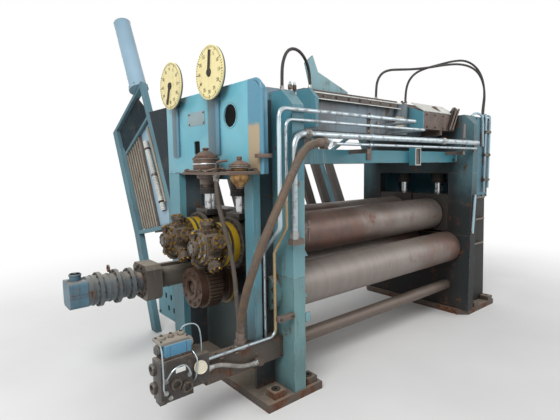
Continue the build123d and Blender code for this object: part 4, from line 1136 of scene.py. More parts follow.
@dataclass
class Studio:
    """The camera at the photograph's place, the pale floor and the soft lights."""

    eye: Point = (-3.371, -3.000, 1.749)
    heading: float = 50.27
    pitch: float = -5.957
    roll: float = 0.785
    lens: float = 27.09
    sky: float = 0.52
    shadow_reach: Corner = (2.6, 6.5)

    def camera(self) -> None:
        """Make the camera and use it."""
        heading, pitch, roll = (math.radians(v) for v in (self.heading, self.pitch, self.roll))
        flat = math.cos(pitch)
        forward = Vector((math.cos(heading) * flat, math.sin(heading) * flat, math.sin(pitch)))
        level = Vector((math.sin(heading), -math.cos(heading), 0))
        down = forward.cross(level)
        right = math.cos(roll) * level + math.sin(roll) * down
        low = -math.sin(roll) * level + math.cos(roll) * down
        data = bpy.data.cameras.new("photo_camera")
        data.lens, data.sensor_width, data.sensor_fit = self.lens, 36.0, "HORIZONTAL"
        data.clip_start = 0.05
        thing = show("photo_camera", data)
        turn = Matrix((right, -low, -forward)).transposed().to_4x4()
        thing.matrix_world = Matrix.Translation(self.eye) @ turn
        bpy.context.scene.camera = thing

    def seen(self, shader: Shader) -> Sock:
        """Give 1 for rays that show the background: camera, mirror and glass rays."""
        kinds = ("Is Camera Ray", "Is Glossy Ray", "Is Transmission Ray")
        rays = [shader.node("LightPath", out=name) for name in kinds]
        return rays[0].most(rays[1]).most(rays[2])

    def floor(self) -> None:
        """Make the floor, which takes the shadow near the machine and turns white far away."""
        bm = bmesh.new()
        bmesh.ops.create_grid(bm, x_segments=1, y_segments=1, size=40.0)
        mesh = bpy.data.meshes.new("studio_floor")
        bm.to_mesh(mesh)
        bm.free()
        s = Shader(bpy.data.materials.new("pale_floor"))
        cloud = s.noise(1.5, 4.0, 0.5)
        colour = s.mix(s.step(cloud, 0.3, 0.7), (0.74, 0.74, 0.735), (0.80, 0.80, 0.795))
        skin = s.node("BsdfPrincipled", None, {"Base Color": colour, "Roughness": 0.9})
        glow = s.node("Emission", None, {"Color": (1, 1, 1), "Strength": 1.0})
        away = s.node("VectorMath", {"operation": "LENGTH"}, {0: s.place()}, out="Value")
        far = s.step(away, *self.shadow_reach) * self.seen(s)
        mesh.materials.append(s.close(s.node("MixShader", None, {0: far, 1: skin, 2: glow})))
        show("studio_floor", mesh)

    def world(self) -> None:
        """Make a white background that lights the machine at a plain level."""
        world = bpy.data.worlds.new("studio_world")
        bpy.context.scene.world = world
        s = Shader(world)
        level = self.seen(s) * (1.0 - self.sky) + self.sky
        s.close(s.node("Background", None, {"Color": (1, 1, 1), "Strength": level}), "World")

    def light(self, name: str, place: Point, target: Point, power: float, size: float) -> None:
        """Make one soft area lamp.

        Args:
            name: Its name.
            place: Where it hangs.
            target: What it points at.
            power: Its power in watts.
            size: Its width.
        """
        data = bpy.data.lights.new(name, "AREA")
        data.energy, data.size = power, size
        turn = (Vector(place) - Vector(target)).to_track_quat("Z", "Y").to_matrix().to_4x4()
        show(name, data).matrix_world = Matrix.Translation(place) @ turn

    def build(self) -> None:
        """Set up the whole studio."""
        bpy.context.scene.view_settings.view_transform = "Standard"
        self.camera()
        self.floor()
        self.world()
        self.light("key_light", (-5.5, -3.0, 5.5), (-0.8, 0.0, 1.0), 300, 3.0)
        self.light("fill_light", (4.5, -5.0, 4.0), (0.5, 0.0, 1.0), 120, 4.0)
        self.light("back_light", (0.0, 6.0, 5.0), (0.0, 0.0, 1.2), 150, 4.0)


# Hoses


@dataclass(frozen=True)
class Hose:
    """A hose: its node, look, real length and the points that its smooth line follows."""

    node: str
    look: Look
    slot: str
    radius: float
    length: float
    stiffness: str
    route: tuple[Point, ...]

    def lay(self) -> None:
        curve = round_line(self.node + "_line", self.route, self.radius, 6, 16)
        curve.materials.append(self.look.surface)
        thing = show(self.node + "_line", curve)
        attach(thing, "frame")
        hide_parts(self.node)
        log.info("%s laid", self.node)

    def fittings(self, piece: Piece, look: Look) -> None:
        """Put a pressed sleeve and a nut on each end.

        Args:
            piece: The piece that takes them.
            look: Their look.
        """
        r = self.radius
        wide = 1.0 if r < 0.02 else 0.86
        steps = ((1.5, -0.3), (1.5, 0.5), (1.3, 0.6), (1.32, 2.6), (1.17, 2.9))
        sleeve = [(0, -0.3 * r), *((wide * a * r, b * r) for a, b in steps), (0, 2.9 * r)]
        for near, far in ((self.route[0], self.route[1]), (self.route[-1], self.route[-2])):
            line = Vector(far) - Vector(near)
            piece.turned(sleeve, look, near, line, 24)
            piece.nut(near, line, (-0.25 * r, 0.9 * r, 1.75 * wide * r, 0.0), look)


BROWN_ROUTE = (
    (-1.135, -0.832, 1.912), (-1.245, -0.832, 1.912), (-1.345, -0.848, 1.868), (-1.425, -0.862, 1.790),
    (-1.502, -0.868, 1.672), (-1.590, -0.868, 1.522), (-1.672, -0.864, 1.378), (-1.742, -0.842, 1.225),
    (-1.784, -0.806, 1.070), (-1.798, -0.752, 0.930), (-1.786, -0.690, 0.802), (-1.765, -0.630, 0.700),
    (-1.756, -0.600, 0.602), (-1.756, -0.600, 0.502),
)
FRONT_ROUTE = (
    (-1.856, -0.500, 1.696), (-1.856, -0.500, 1.596), (-1.842, -0.500, 1.478), (-1.808, -0.500, 1.348),
    (-1.772, -0.503, 1.212), (-1.744, -0.504, 1.080), (-1.729, -0.508, 0.935), (-1.724, -0.516, 0.785),
    (-1.726, -0.532, 0.672), (-1.732, -0.550, 0.570), (-1.732, -0.550, 0.470),
)
MANIFOLD_ROUTE = (
    (-2.060, -0.664, 0.440), (-1.988, -0.664, 0.440), (-1.908, -0.667, 0.414), (-1.822, -0.666, 0.376),
    (-1.738, -0.661, 0.352), (-1.658, -0.661, 0.352),
)
TOP_LEFT_ROUTE = (
    (-1.350, -0.610, 2.290), (-1.350, -0.610, 2.385), (-1.335, -0.600, 2.490), (-1.275, -0.575, 2.585),
    (-1.180, -0.535, 2.635), (-1.065, -0.490, 2.642), (-0.960, -0.445, 2.605), (-0.880, -0.400, 2.545),
    (-0.842, -0.374, 2.468), (-0.842, -0.374, 2.390),
)
TOP_FRONT_ROUTE = (
    (0.146, -0.300, 2.390), (0.146, -0.300, 2.480), (0.160, -0.300, 2.580), (0.220, -0.308, 2.665),
    (0.330, -0.320, 2.710), (0.480, -0.336, 2.730), (0.690, -0.360, 2.756), (0.940, -0.392, 2.800),
    (1.220, -0.436, 2.862), (1.480, -0.476, 2.900), (1.690, -0.514, 2.885), (1.830, -0.545, 2.810),
    (1.890, -0.568, 2.685), (1.885, -0.585, 2.555), (1.850, -0.596, 2.450), (1.825, -0.602, 2.370),
    (1.825, -0.602, 2.290),
)
TOP_REAR_ROUTE = (
    (0.685, -0.280, 2.390), (0.685, -0.280, 2.490), (0.700, -0.284, 2.595), (0.760, -0.292, 2.690),
    (0.870, -0.306, 2.765), (1.020, -0.330, 2.820), (1.220, -0.362, 2.878), (1.450, -0.400, 2.942),
    (1.660, -0.436, 2.975), (1.840, -0.470, 2.935), (1.955, -0.500, 2.835), (1.995, -0.522, 2.700),
    (1.975, -0.538, 2.570), (1.930, -0.548, 2.460), (1.900, -0.555, 2.370), (1.900, -0.555, 2.290),
)


@dataclass
class HoseSet:
    """All the hoses with their end fittings."""

    hoses: tuple[Hose, ...] = (
        Hose("brown_hose", Look.BROWN_HOSE, "brown_hose", 0.029, 1.758, "stiff", BROWN_ROUTE),
        Hose("front_hose", Look.GREY_HOSE, "brown_hose", 0.016, 1.242, "medium", FRONT_ROUTE),
        Hose("manifold_hose", Look.PALE_HOSE, "black_hose", 0.014, 0.416, "medium", MANIFOLD_ROUTE),
        Hose("top_left_hose", Look.BLACK_HOSE, "black_hose", 0.012, 0.942, "medium", TOP_LEFT_ROUTE),
        Hose("top_front_hose", Look.BLACK_HOSE, "black_hose", 0.012, 2.499, "medium", TOP_FRONT_ROUTE),
        Hose("top_rear_hose", Look.BLACK_HOSE, "black_hose", 0.012, 2.179, "medium", TOP_REAR_ROUTE),
    )

    def build(self) -> None:
        """Lay the hoses and put on the fittings."""
        for hose in self.hoses:
            hose.lay()
        piece = Piece("hose_fittings", "frame", "silver_pipe")
        for hose in self.hoses:
            hose.fittings(piece, Look.SHAFT if hose.node == "brown_hose" else Look.ZINC)
        piece.done()


# Finishes of the frame's nodes


@dataclass
class NodeLooks:
    """Which look each node of the frame wears."""

    looks: dict[Look, tuple[str, ...]] = field(
        default_factory=lambda: {
            Look.PANEL: ("left_outer_panel",),
            Look.TURQUOISE: ("left_crosshead",),
            Look.LEG: ("left_outer_legs",),
            Look.POST: ("left_posts",),
            Look.SILL: ("left_sill",),
            Look.WEBS: ("left_webs",),
            Look.BEAM: ("front_tie_beam", "rear_tie_beam"),
            Look.GIRDER_WEB: ("girder_webs",),
            Look.COVER: ("girder_stiffeners",),
            Look.TOP_PLATE: ("top_plate",),
            Look.IDLE_POST: ("right_sill", "right_posts", "right_crosshead", "right_cylinder_shelf"),
            Look.IDLE_CASING: ("right_upper_casing",),
            Look.IDLE_FOOT: ("right_lower_casing",),
            Look.BASE: ("left_base_plate", "right_base_plate"),
            Look.CHANNEL: ("foot_channel",),
            Look.CASTING: ("hydraulic_manifold",),
            Look.GUARD_FRAME: ("guard_left_frame", "guard_right_frame"),
            Look.GUARD_TUBE: ("guard_tube",),
            Look.SLATS: ("guard_bars",),
            Look.GREY_BLUE: ("rear_drive_gear",),
            Look.ARM: ("torque_arm",),
            Look.MOTOR_BLUE: ("rear_drive_motor",),
            Look.YELLOW: ("upper_front_gear_drum", "upper_rear_gear_drum"),
            Look.MOTOR: ("upper_front_motor", "upper_rear_motor"),
            Look.UPPER_ROLL: ("upper_front_roll", "upper_rear_roll"),
            Look.LOWER_ROLL: ("lower_front_roll", "lower_middle_roll", "lower_rear_roll"),
            Look.SHAFT: ("torsion_bars", "right_rungs", "tube_clamps"),
            Look.RUSTY_SHELF: ("accumulator_shelf",),
            Look.COUPLING: ("middle_gear_coupling",),
            Look.CHOCK: ("upper_front_chocks", "upper_rear_chocks"),
            Look.CHROME: ("upper_front_rods", "upper_rear_rods"),
            Look.IRON: ("left_cylinders", "right_cylinders"),
            Look.TUBES: ("silver_tubes",),
            Look.SLATE: ("dials",),
            Look.ACC_DOME: ("accumulators",),
            Look.BLACK: ("large_pointer", "small_pointer"),
        }
    )

    def build(self) -> None:
        """Give every node its material."""
        for look, names in self.looks.items():
            for name in names:
                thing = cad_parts[name]
                thing.data.materials.clear()
                thing.data.materials.append(look.surface)
            log.info("%s on %s", look.name, ", ".join(names))


# Driven end


@dataclass
class OuterPanel:
    """The driven housing's outer panel: its ribs, holes, round corner, bead and blank plate."""

    face: float = -1.632
    back_face: float = -1.569
    low: float = 1.696
    high: float = 2.335
    front: float = -0.715
    rear: float = 0.710
    corner: float = 0.110
    hole: Point = (-0.347, 2.122, 0.083)
    slot: Rect = (0.113, 1.852, 0.213, 1.964)
    slot_corner: float = 0.020
    plugs: Corner = (0.010, 0.060)
    play: float = 0.0005
    rib_low: float = 1.840
    rib_thickness: float = 0.018
    bead: float = 0.0145
    blank: Rect = (0.02, 2.09, 0.29, 2.20)

    def arc(self, y: float, z: float, radius: float, angles: Corner, steps: int) -> list[Point]:
        """Give points along an arc in the panel's plane.

        Args:
            y: The place of its middle along the panel.
            z: The height of its middle.
            radius: Its radius.
            angles: Its first and last angle in degrees.
            steps: How many steps it takes.

        Returns:
            The points.
        """
        start, end = angles
        turns = [math.radians(start + (end - start) * i / steps) for i in range(steps + 1)]
        return [(self.face, y + radius * math.cos(a), z + radius * math.sin(a)) for a in turns]

    def plate(self) -> Shape:
        """Make the plate with its round corner, round hole and slot."""
        x, r, c = self.face, self.corner, self.slot_corner
        outline = [(x, self.front, self.low), (x, self.rear, self.low), (x, self.rear, self.high)]
        outline += self.arc(self.front + r, self.high - r, r, (90, 180), 12)
        round_hole = self.arc(*self.hole, (0, 352.5), 47)
        y0, z0, y1, z1 = self.slot
        corners = ((y1 - c, z1 - c), (y0 + c, z1 - c), (y0 + c, z0 + c), (y1 - c, z0 + c))
        slot = []
        for index, (y, z) in enumerate(corners):
            slot += self.arc(y, z, c, (90 * index, 90 * index + 90), 4)
        return Shape.pierced(outline, [round_hole, slot], (self.back_face - self.face, 0, 0))

    def openings(self, piece: Piece) -> None:
        """Close the round hole and the slot with near-black plugs that paint the shade inside them, and put a
        collar on the hole.
        """
        x, gap = self.face, self.play
        near, far = (x + depth for depth in self.plugs)
        y, z, radius = self.hole
        piece.rod((near, y, z), (far, y, z), radius - gap, Look.RECESS, sides=48)
        piece.turned(ring(radius, radius + 0.010, 0.0, 0.003), Look.PANEL, (x, y, z), Way.LEFT, 48)
        y0, z0, y1, z1 = self.slot
        piece.block((near, y0 + gap, z0 + gap), (far, y1 - gap, z1 - gap), Look.RECESS)

    def build(self) -> None:
        """Build the panel and its dressing in place of the plain node."""
        x, r = self.face, self.corner
        piece = Piece("ribbed_outer_panel", "frame", "turquoise_paint")
        piece.add(self.plate(), Look.PANEL)
        for start, end in PANEL_RIBS:
            low, high = (x - self.rib_thickness, start, self.rib_low), (x + 0.001, end, self.high)
            piece.block(low, high, Look.PANEL, 0.004)
        bead = [(self.front, self.low), (self.front, self.high - r), (self.front, self.high - 0.4 * r)]
        bead += [(self.front + 0.4 * r, self.high), (self.front + r, self.high), (self.rear, self.high)]
        piece.add(Shape.pipe([(x + 0.014, y, z) for y, z in bead], self.bead, 4), Look.PANEL)
        self.openings(piece)
        y0, z0, y1, z1 = self.blank
        piece.block((x - 0.003, y0, z0), (x + 0.001, y1, z1), Look.BLANK_PLATE, 0.0012)
        corners = [(x - 0.003, y, z) for z in (2.104, 2.186) for y in (0.035, 0.275)]
        piece.bolts(0.006, corners, Way.LEFT)
        seam = self.low + 0.004
        piece.rod((x, self.front + 0.03, seam), (x, self.rear - 0.02, seam), 0.006, Look.PANEL, sides=8)
        piece.done("left_outer_panel")


@dataclass
class DrivenHousing:
    """Small parts on the driven housing: wedges, a lever, clamps, boss bolts and the slotted foot plate."""

    post_inner: float = -1.275
    post_front: float = -0.765
    foot_plate: Rect = (0.700, 0.235, 1.120, 0.640)
    foot_plate_face: float = -1.612
    foot_plate_depth: float = 0.024
    slot_rows: tuple[Corner, ...] = ((0.590, 0.975), (0.465, 0.920), (0.345, 0.865))
    slot_shift: float = -0.115
    slot_width: float = 0.036
    slot_half: float = 0.026

    def slotted_plate(self) -> Shape:
        """Make the plate between the rear leg and the guard's foot, with three rows of slots."""
        x, (y0, z0, y1, z1) = self.foot_plate_face, self.foot_plate
        outline = [(x, y0, z0), (x, y1, z0), (x, y1, z1), (x, y0, z1)]
        slots = []
        for z, y in self.slot_rows:
            for shift in (0.0, self.slot_shift):
                a, b = y + shift, y + shift + self.slot_width
                low, high = z - self.slot_half, z + self.slot_half
                slots.append([(x, a, low), (x, b, low), (x, b, high), (x, a, high)])
        return Shape.pierced(outline, slots, (self.foot_plate_depth, 0, 0))

    def front_post(self, piece: Piece) -> None:
        """Put two wedges, a pin with its lever and a lug on the post beside the rolls."""
        x, y = self.post_inner, self.post_front
        for back, z in ((-0.716, 1.078), (-0.712, 0.763)):
            start = back - 0.03
            wedge = [(x, start, z), (x + 0.045, start, z), (x, start, z + 0.07)]
            piece.add(Shape.slab(wedge, (0, 0.012, 0), 0.001), Look.POST)
        piece.rod((x, -0.751, 1.293), (x + 0.06, -0.751, 1.293), 0.011, Look.SHAFT, soften=0.002)
        piece.rod((x + 0.05, -0.751, 1.19), (x + 0.05, -0.751, 1.345), 0.008, Look.SHAFT, soften=0.003)
        lug = [(x, y, 0.58), (x + 0.05, y, 0.58), (x + 0.05, y, 0.65), (x, y, 0.65)]
        piece.add(Shape.slab(lug, (0, 0.012, 0), 0.001), Look.POST)

    def build(self) -> None:
        """Build the housing's dressing."""
        piece = Piece("driven_housing_fittings", "frame", "turquoise_paint")
        self.front_post(piece)
        for y in LOWER_ROWS:
            piece.bolt_circle(0.013, 8, 0.118, (-1.4505, y, LOWER_AXIS), Way.LEFT, 22)
        studs = [aim((x, y, 0.110), Way.UP) for x in (-1.515, -1.190) for y in (-0.690, 0.690)]
        piece.add(Shape.turned(ring(0.012, 0.034, 0.0, 0.006), 20), Look.DARK_BOLT, studs)
        piece.add(self.slotted_plate(), Look.FOOT_PAINT)
        # Near-black block behind the slots: painted shade seen through them.
        piece.block((-1.606, 0.74, 0.30), (-1.590, 1.04, 0.63), Look.RECESS)
        for z in (0.265, 0.615):
            piece.bolts(0.011, [(-1.6125, y, z) for y in (0.725, 1.090)], Way.LEFT, 11)
        piece.block((-1.676, -0.750, 1.806), (-1.560, -0.700, 1.834), Look.SHAFT, 0.003)
        piece.block((-1.540, -0.772, 0.640), (-1.385, -0.730, 0.680), Look.SHAFT, 0.004)
        piece.bolts(0.010, [(x, -0.7725, 0.660) for x in (-1.52, -1.41)], Way.FRONT)
        y, low, middle, high = -0.70, 2.288, 2.322, 2.344
        for x in (-1.352, -1.310):
            piece.rod((x, y, low), (x, y, middle), 0.016, Look.DARK_BOLT, sides=6, soften=0.002)
            piece.rod((x, y, middle), (x, y, high), 0.010, Look.PIPE, tip=0.008, sides=16, soften=0.002)
        piece.done()


@dataclass
class RollDrives:
    """The bolts, covers and rings of the star motors and gear drums of the upper rolls."""

    z: float = 1.155
    star: float = -1.795
    hub: float = -1.893
    arms: int = 5
    rows: dict[str, float] = field(default_factory=lambda: {"front": -0.244, "rear": 0.244})

    def arm(self, piece: Piece, middle: Vector, angle: float) -> None:
        """Dress one arm of the star.

        Args:
            piece: The piece that takes the shapes.
            middle: The star's middle.
            angle: The arm's direction in degrees.
        """
        out = Vector((0, math.cos(math.radians(angle)), math.sin(math.radians(angle))))
        top = middle + out * 0.196
        piece.bolt_circle(0.0098, 6, 0.037, top, out, 15, Look.OLD_BRASS)
        rim = [(0.0, -0.006), (0.024, -0.006), (0.024, 0.007), (0.016, 0.012), (0.0, 0.012)]
        piece.turned(rim, Look.MOTOR, top, out, 20)
        piece.turned(ring(0.040, 0.056, -0.030, -0.022), Look.MOTOR, top, out, 24)
        piece.bolt_circle(0.0075, 8, 0.050, middle + out * 0.128, out, 5, Look.OLD_BRASS)

    def motor(self, side: str, y: float) -> None:
        """Dress one motor and drum.

        Args:
            side: The roll that it turns.
            y: Where its axis is.
        """
        piece = Piece(f"{side}_motor_bolts", f"upper_{side}_carrier", "motor_casting")
        middle = Vector((self.star, y, self.z))
        for index in range(self.arms):
            self.arm(piece, middle, 90 + 360 * index / self.arms)
        piece.bolt_circle(0.011, 10, 0.098, (-1.871, y, self.z), Way.LEFT, 9, Look.OLD_BRASS)
        piece.bolt_circle(0.010, 8, 0.070, (self.hub, y, self.z), Way.LEFT, 20, Look.OLD_BRASS)
        piece.bolt_circle(0.007, 6, 0.044, (-1.933, y, self.z), Way.LEFT)
        disc = [(0, -0.002), (0.034, -0.002), (0.034, 0.004), (0.030, 0.006), (0, 0.006)]
        piece.turned(disc, Look.HUB_GREY, (-1.932, y, self.z), Way.LEFT, 32)
        if side == "front":
            for x, inner, outer in ((self.hub, 0.052, 0.081), (-1.871, 0.083, 0.112)):
                plate = ring(inner, outer, 0, 0.0016)
                piece.turned(plate, Look.HUB_GREY, (x, y, self.z), Way.LEFT, 48)
        piece.turned(ring(0.134, 0.172, 0, 0.006), Look.DARK_BOLT, (-1.720, y, self.z), Way.LEFT, 64)
        piece.bolt_circle(0.010, 18, 0.152, (-1.726, y, self.z), Way.LEFT, 4, Look.OLD_BRASS)
        black = [(0.170, 0), (0.203, 0), (0.206, 0.004), (0.206, 0.034), (0.200, 0.040), (0.170, 0.040)]
        piece.turned(black, Look.IRON, (-1.572, y, self.z), Way.LEFT, 72)
        piece.bolt_circle(0.009, 20, 0.191, (-1.612, y, self.z), Way.LEFT, 2)
        for way, reach in ((Way.DOWN, -0.092), (Way.UP, 0.092)):
            port = (-1.912, y, self.z + reach)
            piece.nut(port, way, (-0.012, 0.014, 0.024, 0.0), Look.DARK_BOLT)
            piece.nut(port, way, (0.014, 0.030, 0.016, 0.002), Look.OLD_BRASS, tip=0.013)
        piece.done()

    def build(self) -> None:
        """Dress both motors."""
        for side, y in self.rows.items():
            self.motor(side, y)


@dataclass
class MiddleCoupling:
    """The bolts, hub nut, lock plate and rear ring of the open gear coupling."""

    z: float = 0.784
    face: float = -1.8105

    def build(self) -> None:
        """Dress the coupling."""
        z, face = self.z, (self.face, 0.0, self.z)
        piece = Piece("coupling_bolts", "lower_middle_roll", "rusty_steel")
        piece.bolt_circle(0.013, 10, 0.132, face, Way.LEFT, 18)
        hub = [(0.064, 0), (0.092, 0), (0.088, 0.012), (0.066, 0.012)]
        piece.turned(hub, Look.COUPLING, face, Way.LEFT)
        piece.rod((-1.784, 0, z), (-1.804, 0, z), 0.046, Look.COUPLING, tip=0.043, sides=8, soften=0.003)
        piece.rod((-1.80, 0, z), (-1.812, 0, z), 0.022, Look.DARK_BOLT, tip=0.020, sides=20, soften=0.002)
        piece.bolt_circle(0.010, 12, 0.137, (-1.4795, 0.0, z), Way.RIGHT)
        rear = [(0.150, 0), (0.1795, 0), (0.1815, 0.003), (0.1815, 0.036), (0.1795, 0.039), (0.150, 0.039)]
        piece.turned(rear, Look.OLIVE, (-1.482, 0, z), Way.LEFT, 72)
        piece.done()


@dataclass
class RearDrive:
    """The bolts, fins and cover of the rear lower roll's drive."""

    y: float = 0.488
    z: float = 0.784
    start: float = -2.041
    stages: tuple[Corner, ...] = (
        (0.079, 0.078),
        (0.030, 0.132),
        (0.085, 0.104),
        (0.027, 0.140),
        (0.110, 0.112),
        (0.030, 0.138),
        (0.083, 0.118),
    )
    flange_below: float = 0.05
    fins: int = 30
    box_angles: Corner = (70, 110)

    def gear(self, piece: Piece) -> None:
        """Put bolts on the gear stages' flanges and bands on their drums."""
        y, z = self.y, self.z
        reach = self.start
        for length, radius in self.stages:
            reach -= length
            if length < self.flange_below:
                for x, way in ((reach, Way.LEFT), (reach + length, Way.RIGHT)):
                    piece.bolt_circle(0.0085, 12, radius - 0.013, (x, y, z), way, 7)
            else:
                band = ring(radius - 0.004, radius + 0.005, 0.0, 0.010)
                piece.turned(band, Look.GREY_BLUE, (reach + length * 0.6, y, z), Way.LEFT, 48)

    def motor(self, piece: Piece) -> None:
        """Make the motor's fins, fan cover and round top."""
        y, z = self.y, self.z
        for index in range(self.fins):
            angle = 360 * index / self.fins
            if not self.box_angles[0] < angle < self.box_angles[1]:
                fin = Shape.block((0.098, -0.0025, 0.0), (0.109, 0.0025, 0.118), 0.001, 1)
                piece.add(fin.put(aim((-2.495, y, z), Way.LEFT, angle)), Look.MOTOR_BLUE)
        cover = [(0, 0), (0.096, 0), (0.096, 0.012), (0.080, 0.02), (0, 0.02)]
        piece.turned(cover, Look.MOTOR_BLUE, (-2.600, y, z), Way.LEFT)
        piece.bolt_circle(0.007, 6, 0.088, (-2.6125, y, z), Way.LEFT, 30)
        top = [(0, 0), (0.046, 0), (0.046, 0.010), (0.038, 0.016), (0.015, 0.016), (0.013, 0.024), (0, 0.024)]
        piece.turned(top, Look.MOTOR_BLUE, (-2.553, y, z + 0.140), Way.UP, 28)

    def build(self) -> None:
        """Dress the torque arm, the gear stages and the motor."""
        y, z = self.y, self.z
        piece = Piece("rear_drive_bolts", "frame", "grey_blue_paint")
        piece.bolt_circle(0.014, 12, 0.127, (self.start - 0.0005, y, z), Way.LEFT, 15)
        self.gear(piece)
        self.motor(piece)
        piece.turned(ring(0.016, 0.030, -0.006, 0.006), Look.ARM, (-2.300, y, z + 0.155), Way.RIGHT, 24)
        piece.done()


@dataclass
class Dial:
    """One dial's enamel face, rim, ticks and numbers."""

    name: str
    y: float
    z: float = 2.446
    face: float = -1.710
    radius: float = 0.195
    marks: int = 60
    numbers: int = 12
    step: int = 5
    letter: float = 0.036

    def number(self, value: int, angle: float) -> Shape:
        """Make one number on the face.

        Args:
            value: The number.
            angle: Its place in degrees, clockwise from the top.

        Returns:
            The shape.
        """
        curve = bpy.data.curves.new("number", "FONT")
        curve.body = str(value)
        curve.size = self.letter
        curve.extrude = 0.0004
        curve.align_x, curve.align_y = "CENTER", "CENTER"
        a = math.radians(angle)
        r = self.radius - 0.055
        turn = Matrix(((0, 0, -1, 0), (-1, 0, 0, 0), (0, 1, 0, 0), (0, 0, 0, 1)))
        spot = (self.face - 0.0032, self.y - r * math.sin(a), self.z + r * math.cos(a))
        return Shape.of_curve(curve).put(Matrix.Translation(spot) @ turn)

    def scale(self, piece: Piece) -> None:
        """Make the ticks, every fifth one longer, and the numbers."""
        edge = self.radius - 0.004
        spot = (self.face - 0.0022, self.y, self.z)
        for index in range(self.marks):
            long, wide = (0.016, 0.0018) if index % self.step else (0.026, 0.0032)
            tick = Shape.block((-wide, edge - long, 0.0), (wide, edge, 0.0012))
            piece.add(tick.put(aim(spot, Way.LEFT, index * 360 / self.marks + 90)), Look.BLACK)
        for index in range(self.numbers):
            piece.add(self.number(index * self.step, index * 360 / self.numbers), Look.BLACK)

    def build(self) -> None:
        """Build the dial's dressing."""
        x, y, z, r = self.face, self.y, self.z, self.radius
        piece = Piece(self.name, "frame", "dial_cream")
        piece.turned(ring(0.012, r - 0.006, 0.0, 0.0022), Look.CREAM, (x, y, z), Way.LEFT, 72)
        rim = [(r - 0.007, -0.009), (r + 0.0015, -0.009), (r + 0.0015, 0.002)]
        rim += [(r - 0.001, 0.0032), (r - 0.007, 0.0028)]
        piece.turned(rim, Look.CREAM, (x, y, z), Way.LEFT, 72)
        piece.turned(ring(0.04, r - 0.004, 0, 0.004), Look.SLATE, (x + 0.020, y, z), Way.RIGHT, 64)
        self.scale(piece)
        hub = [(0.012, 0.0022), (0.032, 0.0022), (0.030, 0.004), (0.012, 0.004)]
        piece.turned(hub, Look.BLACK, (x, y, z), Way.LEFT, 32)
        back = [(0, 0), (0.1, 0), (0.09, 0.016), (0, 0.016)]
        piece.turned(back, Look.SLATE, (x + 0.0205, y, z), Way.RIGHT)
        piece.done()


